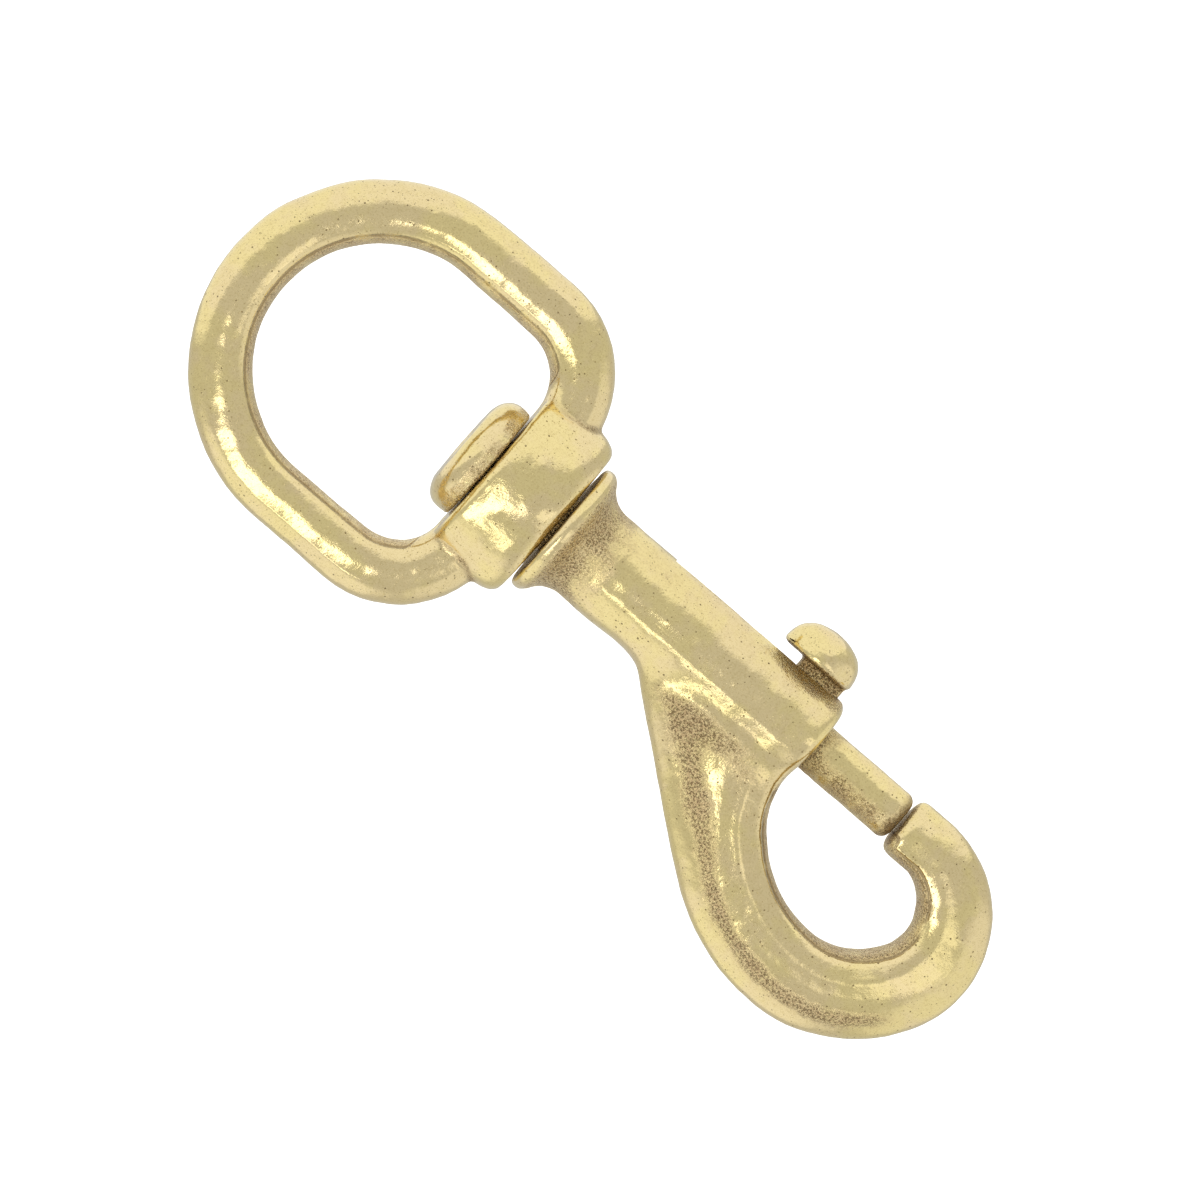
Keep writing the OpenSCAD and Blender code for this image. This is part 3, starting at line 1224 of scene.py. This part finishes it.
@dataclass
class HookBody(Piece):
    """The cast body: flange, barrel, web and hook, sizes in millimetres."""

    node: str = "hook_body"
    body: Body = Body.HOOK
    slot: Slot = Slot.CAST
    barrel: float = 10.4
    flange: float = 15.0
    length: float = 33.8
    gate: float = 11.7
    thick: float = 7.6
    bore: float = 2.75
    shank: float = 3.21
    grip: float = 5.6
    slot_wide: float = 2.8
    lip: float = 1.3
    slot_long: float = 21.3
    neck_radius: float = 3.0
    rim_shape: Pairs = ((0, 0.5), (0.15, 0.15), (0.45, 0), (1.0, 0), (1.3, 0.15))
    muzzle_shape: Pairs = ((1.2, 0), (0.75, 0.06), (0.4, 0.25), (0.12, 0.6), (0, 1.1))
    back_angle: float = 38.0
    shoulder: float = 22.4
    heel: float = 16.5
    toe: float = 12.3
    back: float = 24.6
    section: Section = Section(48, crest=0.17, wall=0.62, bulge=0.45, level=0.95, crown=0.8)
    grain: float = 0.21
    finish: BrassFinish = BrassFinish("tumbled_cast_brass_hook", skin=(0.68, 0.50, 0.27, 1), seed=1.7)
    walls: Pairs = ((58, 0.5), (68, 0.7), (76, 1.0))
    band: Pairs = ((46, 3.6), (58, 3.0), (69, 2.7), (76, 2.3), (85, 2.0))
    band_half: Pairs = ((46, 1.5), (56, 1.0), (62, 0.75), (69, 0.85), (85, 0.6))
    # Darkening: painted shade in the hollows, in the bore and slot, on the flange's back face against the
    # collar and on the tip's end face towards the bolt; a little real grime on the wall, band and throat.
    wear_and_shade: tuple[WearAndShade, ...] = (
        WearAndShade("neck", 0.62), WearAndShade("wall", 0.6, 0.06), WearAndShade("band", 0.95, 0.06), WearAndShade("throat", 0.7, 0.08),
        WearAndShade("hollow", 0.6, 0.35), WearAndShade("gate", 0.6, 0.25), WearAndShade("flange", 0.5, 0.5),
        WearAndShade("beside", 0.4), WearAndShade("above", 0.16), WearAndShade("inside", 0.0, 0.85),
    )
    widths: Pairs = (
        (-38, 9.4), (0, 9.3), (60, 9.0), (90, 8.7), (135, 7.8), (165, 6.9), (180, 6.5),
    )
    depths: Pairs = ((-38, 1.0), (60, 1.0), (120, 0.93), (180, 0.84))
    nose: Pairs = (
        (0, 0), (0.35, 0), (0.7, 0.0), (0.86, 0.12), (0.94, 0.38), (0.985, 0.8), (1.0, 1.25),
    )
    web: Pairs = (
        (0, 6), (0.35, 9.5), (0.6, 13.8), (0.65, 13.4), (0.7, 12.5), (0.75, 11.5), (0.8, 10.6),
        (0.85, 10), (0.9, 9.65), (1, 9.4),
    )

    def __post_init__(self) -> None:
        """Reads the body's ends from the frame."""
        low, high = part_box(self.node)
        self.start = low.x / MM
        self.mouth = self.start + self.length
        self.tip = self.mouth + self.gate
        self.lowest = low.y / MM
        self.turn_x = high.x / MM - self.toe - (self.heel - self.toe) * math.sin(math.radians(60))

    def outline(self, angle: float) -> Vector:
        """The outer outline's point where it runs at an angle from +X, in degrees.

        Args:
            angle: That angle.

        Returns:
            The point, in millimetres.
        """
        bottom = Vector((self.turn_x, self.lowest))
        if angle < 0:
            centre, radius = bottom + Vector((0, self.shoulder)), self.shoulder
        elif angle < 60:
            centre, radius = bottom + Vector((0, self.heel)), self.heel
        else:
            step = self.heel - self.toe
            shift = Vector((math.sin(math.radians(60)), -math.cos(math.radians(60)))) * step
            centre = bottom + Vector((0, self.heel)) + shift
            radius = self.toe
        a = math.radians(angle)
        return centre + radius * Vector((math.sin(a), -math.cos(a)))

    def station(self, outer: Vector, angle: float, width: float, depth: float) -> Station:
        """A ring whose outer side lies on the outline.

        Args:
            outer: The point on the outline.
            angle: The way the bar runs there, in degrees.
            width: The ring's width.
            depth: The ring's depth.

        Returns:
            The ring.
        """
        a = math.radians(angle)
        middle = outer + width / 2 * Vector((-math.sin(a), math.cos(a)))
        return Station(middle.x, middle.y, angle, width, depth)

    def back_run(self) -> Vector:
        """The way that the hook's straight back runs."""
        return Vector((math.cos(math.radians(self.back_angle)), -math.sin(math.radians(self.back_angle))))

    def route(self) -> list[Station]:
        """The rings of the hook's bar, from inside the barrel to the tip.

        Returns:
            The rings, in order.
        """
        run = self.back_run()
        end = self.outline(-self.back_angle)
        rings = []
        for step in range(20):
            share = step / 20
            outer = end - (1 - share) * self.back * run
            rings.append(self.station(outer, -self.back_angle, between(self.web, share), self.thick))
        angles = [-self.back_angle * (1 - step / 10) for step in range(10)] + [step * 4 for step in range(45)]
        for angle in angles:
            depth = self.thick * between(self.depths, angle)
            rings.append(self.station(self.outline(angle), angle, between(self.widths, angle), depth))
        last = self.outline(180)
        depth, width = self.thick * self.depths[-1][1], self.widths[-1][1]
        reach = last.x - self.tip
        for along, pinch in self.nose:
            outer = last + Vector((-reach * along, -pinch))
            rings.append(self.station(outer, 180, width - 2 * pinch, depth - 2 * pinch))
        return rings

    def tube(self) -> bpy.types.Object:
        """The flange, its neck and the barrel.

        Returns:
            The turned part of the body, not yet bored.
        """
        r, rim, x0, x1 = self.barrel / 2, self.flange / 2, self.start, self.mouth
        profile = [(x0 + x, rim - drop) for x, drop in self.rim_shape]
        for angle in range(26, 91, 8):
            along, out = bend(self.neck_radius, angle)
            profile.append((x0 + 1.5 + along, r + out))
        profile += [(x0 + 8 + step * 2.0, r) for step in range(12)]
        profile += [(x1 - x, r - drop) for x, drop in self.muzzle_shape]
        return Bench.turned("tube", profile)

    def inner_edge(self) -> np.ndarray:
        """Points along the hook's inner outline, close together."""
        return inner_line([station for station in self.route() if station.x > self.mouth - 6])

    def outer_edge(self) -> np.ndarray:
        """Points along the hook's outer outline.

        Returns:
            The points, one row each, in millimetres.
        """
        run = self.back_run()
        end = self.outline(-self.back_angle)
        back = [end - run * (self.back * step / 60) for step in range(60, 0, -1)]
        return np.array([tuple(p) for p in back + [self.outline(a / 2) for a in range(-76, 361)]])

    def groove(self, piece: bpy.types.Object) -> None:
        """Presses in the shallow step beside the hook's inner edge, and the barrel's seam.

        Args:
            piece: The hook body.
        """
        p, n = Skin.points(piece), Skin.normals(piece)
        x, y = p[:, 0], p[:, 1]
        under = -self.barrel / 2
        inner = distance(p, self.inner_edge())
        fade = ramp(x, self.mouth - 9, self.mouth - 3) * ramp(y, under + 0.2, under - 2.0)
        fade *= ramp(x, self.tip + 14, self.tip + 6)
        face = ramp(np.abs(n[:, 2]), 0.5, 0.8)
        ridge = 0.04 * hump(inner, 3.1, 0.5) - 0.05 * hump(inner, 4.1, 0.8) - 0.06 * hump(inner, 2.1, 0.8)
        seam = hump(y, -1.3, 0.3) * ramp(x, self.start + 8, self.start + 12)
        seam *= ramp(x, self.mouth, self.mouth - 3)
        rise = ridge * fade - 0.04 * seam
        p[:, 2] += np.sign(n[:, 2]) * face * rise
        Skin.move(piece, p)

    def build(self) -> bpy.types.Object:
        """Casts the body, bores it, cuts its slot and marks where it stayed rough.

        Returns:
            The finished piece.
        """
        hook = Bench.bar("bar", self.route(), self.section)
        piece = Bench.merge([self.tube(), hook], "hook_casting")
        Bench.cast(piece, self.grain, soften=2)
        Bench.soften_where(piece, self.beneath, passes=420)
        self.groove(piece)
        Bench.beat(piece, size=6.0, height=0.2)
        Bench.beat(piece, size=1.5, height=0.05)
        self.drill(piece)
        self.mark(piece)
        Bench.finish(piece)
        return self.hand_over(piece, self.finish.make())

    def beneath(self, points: np.ndarray) -> np.ndarray:
        """1 where the web runs into the barrel's underside, down to 0 away from there.

        Args:
            points: The points, one row each, in millimetres.

        Returns:
            One weight to a point.
        """
        x = points[:, 0]
        along = ramp(x, self.start + 8, self.start + 12) * ramp(x, self.mouth + 1.0, self.mouth - 1.0)
        return hump(points[:, 1], -self.barrel / 2 + 1.0, 2.4) * along

    def drill(self, piece: bpy.types.Object) -> None:
        """Bores the barrel for the rivet and the bolt, and cuts the knob's slot.

        Args:
            piece: The hook body.
        """
        end = self.start + self.grip
        holes = [
            (self.start - 1, self.shank), (end, self.shank), (end + 0.01, self.bore),
            (self.mouth - 0.35, self.bore), (self.mouth + 0.3, self.bore + 0.65),
        ]
        Bench.cut(piece, Bench.turned("drill", holes, 96))
        slot_end = self.mouth - self.lip
        half = self.slot_wide / 2
        low, high = (slot_end - self.slot_long, 0, -half), (slot_end, self.barrel, half)
        Bench.cut(piece, Bench.block("cutter", low, high))

    def mark(self, piece: bpy.types.Object) -> None:
        """Works out where the casting stayed rough, where grime and painted shade sit and where the wall's
        edge runs.

        Args:
            piece: The hook body.
        """
        p, n = Skin.points(piece), Skin.normals(piece)
        x, y = p[:, 0], p[:, 1]
        radius = np.hypot(y, p[:, 2])
        inner, outer = distance(p, self.inner_edge()), distance(p, self.outer_edge())
        under = -self.barrel / 2
        on_hook = np.clip(ramp(y, under + 0.6, under - 1.0) + ramp(x, self.mouth + 1, self.mouth + 3), 0, 1)
        neck = ramp(x, self.start + 1.0, self.start + 1.6) * ramp(x, self.start + 8.5, self.start + 3.5)
        wall_wide = np.interp(x, *zip(*self.walls))
        wall = ramp(inner, wall_wide + 0.12, wall_wide - 0.12) * on_hook
        middle, half = np.interp(x, *zip(*self.band)), np.interp(x, *zip(*self.band_half))
        fade = ramp(x, self.start + 16, self.start + 22)
        fade *= np.where(x > self.turn_x, ramp(y, self.lowest + 9.5, self.lowest + 5), 1)
        band = hump(outer, middle, half) * ramp(np.abs(n[:, 2]), 0.3, 0.6) * on_hook * fade
        throat = hump(x, self.mouth - 9, 6.0) * hump(y, under - 0.8, 1.6) * ramp(y, under + 1.2, under + 0.2)
        beside = ramp(y, 3.3, 4.4) * ramp(x, self.mouth - 12, self.mouth - 7) * (x < self.mouth - 0.5)
        # Painted shade inside the bore and on the slot's walls.
        in_bore = ramp(radius, self.bore + 0.35, self.bore + 0.1) * (x < self.mouth + 0.1) * (x > self.start)
        in_slot = (np.abs(p[:, 2]) < self.slot_wide / 2 + 0.05) * (np.abs(n[:, 2]) > 0.9)
        in_slot = in_slot * (y > 1) * (x < self.mouth)
        # The tip's end face, which faces the bolt's nose: rough, with painted shade.
        gate = ramp(n[:, 0], -0.7, -0.95) * (x > self.mouth + 2) * (x < self.tip + 0.6)
        # The flange's back face, against the eye's collar: rough, with painted shade.
        flange = ramp(n[:, 0], -0.8, -0.95) * (x < self.start + 0.5)
        above = ramp(y, 1.2, 3.2) * ramp(x, self.start + 5, self.start + 9) * (x < self.mouth - 0.5)
        places = {
            "neck": neck, "wall": wall, "band": band, "throat": throat, "gate": gate, "flange": flange,
            "beside": beside, "above": above, "inside": np.maximum(in_bore, in_slot),
            "hollow": Skin.hollows(piece, passes=20, full=0.09),
        }
        Skin.keep_wear_and_shade(piece, self.wear_and_shade, places, blur=(2, 1))
        Skin.keep(piece, Mask.CREASE, 1 - on_hook + on_hook * (0.5 + (inner - wall_wide) / 2))


@dataclass
class SwivelRivet(Piece):
    """The button-headed rivet that the eye turns on, sizes in millimetres."""

    node: str = "swivel_rivet"
    body: Body = Body.HOOK
    slot: Slot = Slot.TURNED
    head_height: float = 3.4
    shank: float = 6.4
    dimple: float = 2.4
    rim: float = 2.6
    crown: float = 2.2
    grain: float = 0.2
    finish: BrassFinish = BrassFinish("peened_brass_head", skin=(0.72, 0.54, 0.30, 1), seed=2.6)
    # Darkening: painted shade under the head and in the hollows, and a little real grime on the side.
    wear_and_shade: tuple[WearAndShade, ...] = (WearAndShade("side", 0.35, 0.04), WearAndShade("hollow", 0.4, 0.3), WearAndShade("beneath", 0.5, 0.2))

    def build(self) -> bpy.types.Object:
        """Heads the rivet, peens its crown and joins its shank.

        Returns:
            The finished piece.
        """
        low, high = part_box(self.node)
        x0, r, end = low.x / MM, high.y / MM, high.x / MM
        under = x0 + self.head_height
        half = self.shank / 2
        profile = [(x0 + 0.45, 0.6), (x0 + 0.35, 1.6), (x0 + 0.08, self.dimple), (x0, self.dimple + 0.6)]
        profile += [
            (x0 + bend(self.crown, angle)[0], r - bend(self.rim, angle)[1])
            for angle in range(12, 91, 13)
        ]
        profile += [(under - 0.8, r), (under - 0.1, r - 0.05), (under + 0.05, r - 0.2)]
        piece = Bench.turned("swivel_rivet_head", profile)
        Bench.cast(piece, self.grain, soften=2)
        Bench.beat(piece, size=2.6, height=0.12)
        points = Skin.points(piece)
        points[:, 0] = np.minimum(points[:, 0], under + 0.12)
        Skin.move(piece, points)
        pin = Bench.turned("pin", [(under - 0.6, half), (end - 0.5, half), (end, half - 0.5)], 96)
        Bench.modify(piece, "BOOLEAN", operation="UNION", solver="EXACT", object=pin)
        bpy.data.objects.remove(pin)
        p = Skin.points(piece)
        side = ramp(np.hypot(p[:, 1], p[:, 2]), r - 1.0, r - 0.3) * ramp(p[:, 0], x0 + 1.6, x0 + 2.4)
        # Painted shade under the head, against the collar.
        beneath = (p[:, 0] > under - 0.3) * 1.0
        places = {"side": side, "hollow": Skin.hollows(piece, passes=20, full=0.08), "beneath": beneath}
        Skin.keep_wear_and_shade(piece, self.wear_and_shade, places)
        Bench.finish(piece)
        return self.hand_over(piece, self.finish.make())


@dataclass
class LockBolt(Piece):
    """The sliding bolt, sizes in millimetres."""

    node: str = "lock_bolt"
    body: Body = Body.BOLT
    slot: Slot = Slot.TURNED
    shown: float = 12.5
    grain: float = 0.16
    finish: BrassFinish = BrassFinish("worn_brass_bolt", polish=0.14, pits=0.8, seed=3.3)
    nose: Pairs = ((0.9, 0), (0.55, 0.1), (0.25, 0.32), (0.07, 0.6), (0, 0.95))
    # Darkening: painted shade where the bolt leaves the barrel's mouth, on the nose against the hook's tip
    # and in the hollows, and a little real grime on the flank.
    wear_and_shade: tuple[WearAndShade, ...] = (
        WearAndShade("root", 0.6, 0.2), WearAndShade("flank", 0.45, 0.09), WearAndShade("nose", 0.5, 0.35), WearAndShade("hollow", 0.4, 0.3),
    )

    def build(self) -> bpy.types.Object:
        """Draws the bolt, rounds and wears its ends.

        Returns:
            The finished piece.
        """
        low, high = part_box(self.node)
        x0, x1, r = low.x / MM, high.x / MM, high.y / MM
        profile = [(x0, r - 0.5), (x0 + 0.15, r - 0.2), (x0 + 0.5, r)]
        profile += [(x0 + 2 + step * 2, r) for step in range(9)]
        profile += [(x1 - x, r - drop) for x, drop in self.nose]
        piece = Bench.turned("sliding_bolt", profile, 64)
        Bench.cast(piece, self.grain, soften=3)

        def worn(points: np.ndarray) -> np.ndarray:
            """1 on the stretch that comes out of the barrel, 0 inside it."""
            return ramp(points[:, 0], x1 - self.shown, x1 - self.shown + 1.5)

        Bench.beat(piece, size=3.0, height=0.10, rule=worn)
        Bench.beat(piece, size=0.8, height=0.05, rule=worn)
        points = Skin.points(piece)
        reach = np.hypot(points[:, 1], points[:, 2])
        limit = np.minimum(1, (r + 0.02) / np.maximum(reach, 1e-6))
        flat = 0.16 * hump(points[:, 1], 0.35, 0.95) * ramp(points[:, 2], 0, 1.5) * worn(points)
        points[:, 1:] *= limit[:, None]
        points[:, 2] -= flat
        points[:, 0] = np.clip(points[:, 0], x0, x1)
        Skin.move(piece, points)
        p = Skin.points(piece)
        # Painted shade where the bolt comes out of the barrel's mouth.
        root = ramp(p[:, 0], x1 - self.shown + 4.2, x1 - self.shown + 0.8)
        flank = ramp(p[:, 1], 0.3, -0.9)
        # Painted shade on the nose, against the hook's tip.
        nose = ramp(p[:, 0], x1 - 1.5, x1 - 0.4)
        hollow = Skin.hollows(piece, passes=20, full=0.06)
        places = {"root": root, "flank": flank, "nose": nose, "hollow": hollow}
        Skin.keep_wear_and_shade(piece, self.wear_and_shade, places)
        Bench.finish(piece)
        return self.hand_over(piece, self.finish.make())


@dataclass
class ThumbKnob(Piece):
    """The mushroom knob that draws the bolt back, sizes in millimetres."""

    node: str = "thumb_knob"
    body: Body = Body.BOLT
    slot: Slot = Slot.TURNED
    height: float = 3.9
    neck_long: float = 5.2
    neck_wide: float = 2.6
    slot_play: float = 0.1
    fullness: float = 0.9
    grain: float = 0.15
    finish: BrassFinish = BrassFinish("thumb_worn_brass", pits=0.35, seed=4.1)
    # Darkening: painted shade on the neck down in the slot, under the dome and in the hollows.
    wear_and_shade: tuple[WearAndShade, ...] = (WearAndShade("below", 0.95, 0.15), WearAndShade("hollow", 0.6, 0.3), WearAndShade("under", 0.5, 0.12))

    def build(self) -> bpy.types.Object:
        """Raises the knob's dome and runs its neck down to the bolt.

        Returns:
            The finished piece.
        """
        low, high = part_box(self.node)
        r, top = (high.x - low.x) / MM / 2, high.y / MM
        x, foot = (high.x + low.x) / MM / 2, top - self.height
        bolt_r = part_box("lock_bolt")[1].z / MM
        profile = [(foot, r - 0.55), (foot + 0.12, r - 0.2), (foot + 0.4, r), (foot + 0.8, r - 0.02)]
        for angle in (12, 24, 36, 48, 60, 70, 79, 86):
            a = math.radians(angle)
            rise = (self.height - 0.8) * math.sin(a)
            profile.append((foot + 0.8 + rise, (r - 0.02) * math.cos(a) ** self.fullness))
        dome = Bench.bar("dome", [Station(x, y, 90, 2 * q, 2 * q) for y, q in profile], Section(72))
        neck_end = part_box("hook_body")[0].x / MM + HookBody.length - HookBody.lip - self.slot_play
        half = self.neck_wide / 2
        low, high = (neck_end - self.neck_long, bolt_r - 0.35, -half), (neck_end, foot + 0.6, half)
        neck = Bench.block("neck", low, high)
        Bench.modify(neck, "BEVEL", width=0.35 * MM, segments=3)
        piece = Bench.merge([dome, neck], "knob_and_neck")
        Bench.cast(piece, self.grain, soften=4)
        Bench.beat(piece, size=3.2, height=0.16, rule=lambda p: ramp(p[:, 1], foot - 0.4, foot + 0.3))
        Bench.beat(piece, size=0.9, height=0.05)
        points = Skin.points(piece)
        in_slot = points[:, 1] < foot - 0.3
        points[:, 2] = np.where(in_slot, np.clip(points[:, 2], -half, half), points[:, 2])
        points[:, 0] = np.where(in_slot, np.minimum(points[:, 0], neck_end), points[:, 0])
        Skin.move(piece, points)
        p, n = Skin.points(piece), Skin.normals(piece)
        # The neck: rough, with painted shade where it sits down in the slot.
        below = ramp(p[:, 1], foot + 0.3, foot - 0.2)
        # Painted shade under the dome.
        under = ramp(n[:, 1], -0.4, -0.8) * (p[:, 1] > foot - 0.3)
        places = {"below": below, "under": under, "hollow": Skin.hollows(piece, passes=20, full=0.08)}
        Skin.keep_wear_and_shade(piece, self.wear_and_shade, places)
        Bench.finish(piece)
        return self.hand_over(piece, self.finish.make())


@dataclass
class BoltSpring(Piece):
    """The compression spring behind the bolt, sizes in millimetres."""

    node: str = "bolt_spring"
    body: Body = Body.HOOK
    slot: Slot = Slot.SPRING
    wire: float = 0.6
    turns: int = 7
    steps: int = 40
    ring: int = 12
    closed_pitch: float = 1.04
    finish: WireFinish = WireFinish("drawn_spring_wire")

    @staticmethod
    def travel() -> float:
        """How far the bolt can be drawn back, in metres."""
        return next(joint["range_m"][1] for joint in frame["joints"] if joint["name"] == "bolt_slide")

    def build(self) -> bpy.types.Object:
        """Winds the spring and closes its ends.

        Returns:
            The finished piece.
        """
        low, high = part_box(self.node)
        x0, x1, r = low.x / MM, high.x / MM, high.y / MM - self.wire / 2
        run = x1 - x0 - self.wire
        Bench.clear()
        bpy.ops.mesh.primitive_circle_add(
            vertices=self.ring, radius=self.wire / 2 * MM, location=(0, r * MM, 0), rotation=(0, 0, 0)
        )
        piece = Bench.name(bpy.context.object, "closing_spring")
        Bench.settle(piece)
        Bench.modify(
            piece, "SCREW", axis="X", angle=math.radians(360 * self.turns), screw_offset=run * MM,
            steps=self.steps * self.turns, render_steps=self.steps * self.turns, use_merge_vertices=True,
        )
        points = Skin.points(piece)
        share = np.arange(len(points)) // self.ring / (len(points) / self.ring - 1)
        close = 1 / self.turns
        rise = self.wire * self.closed_pitch
        at = np.interp(share, (0, close, 1 - close, 1), (0, rise, run - rise, run))
        points[:, 0] += at - share * run + x0 + self.wire / 2
        Skin.move(piece, points)
        Bench.take(piece)
        bpy.ops.object.mode_set(mode="EDIT")
        bpy.ops.mesh.select_all(action="SELECT")
        bpy.ops.mesh.fill_holes(sides=self.ring)
        bpy.ops.mesh.select_all(action="SELECT")
        bpy.ops.mesh.normals_make_consistent(inside=False)
        bpy.ops.object.mode_set(mode="OBJECT")
        Bench.finish(piece)
        made = self.hand_over(piece, self.finish.make())
        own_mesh(made)
        return made


# ------------------------------------------------------------------ the studio


@dataclass(frozen=True)
class FloorFinish:
    """A pale, even sheet with the faintest grain."""

    name: str = "pale_sheet"
    tone: Colour = (0.93, 0.93, 0.93, 1)
    light_tone: Colour = (0.95, 0.95, 0.95, 1)
    dullness: float = 0.85
    glow: float = 0.85

    def make(self) -> bpy.types.Material:
        """Builds the material.

        Returns:
            The finished material.
        """
        material = bpy.data.materials.new(self.name)
        g = Graph(material)
        shader = g.add("ShaderNodeBsdfPrincipled")
        g.put(shader.inputs["Base Color"], g.mix(g.noise(4, 3), self.tone, self.light_tone))
        shader.inputs["Roughness"].default_value = self.dullness
        shader.inputs["Emission Color"].default_value = (1, 1, 1, 1)
        shader.inputs["Emission Strength"].default_value = self.glow
        out = g.add("ShaderNodeOutputMaterial")
        g.put(out.inputs["Surface"], shader.outputs[0])
        return material


@dataclass(frozen=True)
class Panel:
    """A part of the tent that is lighter or darker than the rest, beyond a straight edge.

    side is the way from overhead to it, in degrees anticlockwise from the picture's right. It
    begins at start and reaches its full gain at full, both as sines of the angle from overhead.
    """

    side: float
    start: float
    full: float
    gain: float


@dataclass(frozen=True)
class Softbox:
    """A soft lamp above the part, sizes in millimetres.

    right and up give its middle in the picture's plane and height its height over the part. turn
    is the way its long side runs, in degrees anticlockwise from the picture's right, and level
    is its brightness on the tent's scale.
    """

    name: str
    right: float
    up: float
    height: float
    turn: float
    long: float
    wide: float
    level: float
    tone: tuple[float, float, float] = (1.0, 0.985, 0.95)


@dataclass
class Studio:
    """The floor, the lights and the camera.

    Angles are in degrees and lengths in millimetres, but for the camera's clip in metres.
    """

    roll: float = 40.85
    lean: float = 3.5
    distance: float = 620.0
    sensor: float = 36.0
    across: float = 119.7
    aim: tuple[float, float, float] = (31.45, -2.93, 0.0)
    clip: tuple[float, float] = (0.01, 10)
    floor_size: float = 2400.0
    floor_gap: float = 0.5
    overhead: float = 0.60
    panels: tuple[Panel, ...] = (
        Panel(98, 0.28, 0.36, 0.34),
        Panel(229, 0.75, 0.92, 0.34),
        Panel(319, 0.60, 0.85, 0.22),
    )
    softboxes: tuple[Softbox, ...] = (
        Softbox("key", -195, -132, 300, 214, 370, 80, 1.8),
        Softbox("low_key", -215, -215, 300, 135, 220, 80, 1.2),
        Softbox("fill", 165, -155, 300, -41, 250, 110, 0.4),
    )

    def __post_init__(self) -> None:
        """Works out the camera's own axes in the frame."""
        a = math.radians(self.roll)
        tilt = Matrix.Rotation(math.radians(-self.lean), 3, "Y")
        self.right = tilt @ Vector((math.cos(a), math.sin(a), 0))
        self.up = tilt @ Vector((-math.sin(a), math.cos(a), 0))
        self.back = self.right.cross(self.up)

    def floor(self) -> bpy.types.Object:
        """Lays the sheet just below the eye's lowest reach as it turns.

        Returns:
            The floor.
        """
        _, eye_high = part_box("swivel_eye")
        depth = math.hypot(eye_high.y, eye_high.z) + self.floor_gap * MM
        Bench.clear()
        bpy.ops.mesh.primitive_plane_add(size=self.floor_size * MM)
        floor = Bench.name(bpy.context.object, "floor")
        bpy.ops.object.mode_set(mode="EDIT")
        bpy.ops.mesh.subdivide(number_cuts=3)
        bpy.ops.object.mode_set(mode="OBJECT")
        floor.location = (self.aim[0] * MM, self.aim[1] * MM, -depth)
        Bench.settle(floor)
        floor.data.materials.append(FloorFinish().make())
        floor.visible_glossy = False
        return floor

    def softbox(self, box: Softbox) -> None:
        """Hangs a softbox over the part, facing straight down.

        Args:
            box: The softbox.
        """
        data = bpy.data.lights.new(box.name, "AREA")
        data.shape = "RECTANGLE"
        data.size, data.size_y = box.long * MM, box.wide * MM
        data.energy = box.level * math.pi * box.long * box.wide * MM * MM
        data.color = box.tone
        lamp = bpy.data.objects.new(box.name, data)
        bpy.context.scene.collection.objects.link(lamp)
        a = math.radians(box.turn)
        along = self.right * math.cos(a) + self.up * math.sin(a)
        turned = Matrix((along, self.back.cross(along), self.back)).transposed().to_4x4()
        place = Vector(self.aim) + self.right * box.right + self.up * box.up + self.back * box.height
        lamp.matrix_world = Matrix.Translation(place * MM) @ turned

    def sky(self) -> None:
        """Surrounds the part with a white tent whose panels differ a little in brightness."""
        world = bpy.data.worlds.new("tent")
        bpy.context.scene.world = world
        g = Graph(world)
        level = self.overhead
        for panel in self.panels:
            a = math.radians(panel.side)
            across = g.add("ShaderNodeVectorMath", operation="DOT_PRODUCT")
            g.put(across.inputs[0], g.way)
            g.put(across.inputs[1], self.right * math.cos(a) + self.up * math.sin(a))
            gain = g.band(across.outputs["Value"], panel.start, panel.full, 0.0, panel.gain)
            level = g.plus(level, gain)
        tent = g.add("ShaderNodeBackground")
        tent.inputs["Color"].default_value = (1.0, 0.995, 0.98, 1)
        g.put(tent.inputs["Strength"], level)
        plain = g.add("ShaderNodeBackground")
        plain.inputs["Color"].default_value = (1, 1, 1, 1)
        ray = g.add("ShaderNodeLightPath")
        mix = g.add("ShaderNodeMixShader")
        g.put(mix.inputs["Fac"], ray.outputs["Is Camera Ray"])
        g.put(mix.inputs[1], tent.outputs[0])
        g.put(mix.inputs[2], plain.outputs[0])
        out = g.add("ShaderNodeOutputWorld")
        g.put(out.inputs["Surface"], mix.outputs[0])

    def camera(self) -> None:
        """Sets the camera straight above the part."""
        data = bpy.data.cameras.new("camera")
        data.sensor_width = self.sensor
        data.lens = data.sensor_width * self.distance / self.across
        data.clip_start, data.clip_end = self.clip
        camera = bpy.data.objects.new("camera", data)
        bpy.context.scene.collection.objects.link(camera)
        turn = Matrix((self.right, self.up, self.back)).transposed().to_4x4()
        place = Vector(self.aim) + self.back * self.distance
        camera.matrix_world = Matrix.Translation(place * MM) @ turn
        bpy.context.scene.camera = camera

    def build(self) -> None:
        """Sets up the floor, the tent, the lamps and the camera."""
        self.camera()
        self.floor()
        self.sky()
        for box in self.softboxes:
            self.softbox(box)
        bpy.context.scene.view_settings.view_transform = "Standard"
        log.info("studio set")


def main() -> None:
    """Builds every piece in order."""
    logging.basicConfig(level=logging.INFO, format="%(name)s: %(message)s")
    Studio().build()
    for maker in (SwivelEye(), HookBody(), SwivelRivet(), LockBolt(), ThumbKnob(), BoltSpring()):
        maker.build()


if __name__ == "__main__":
    main()
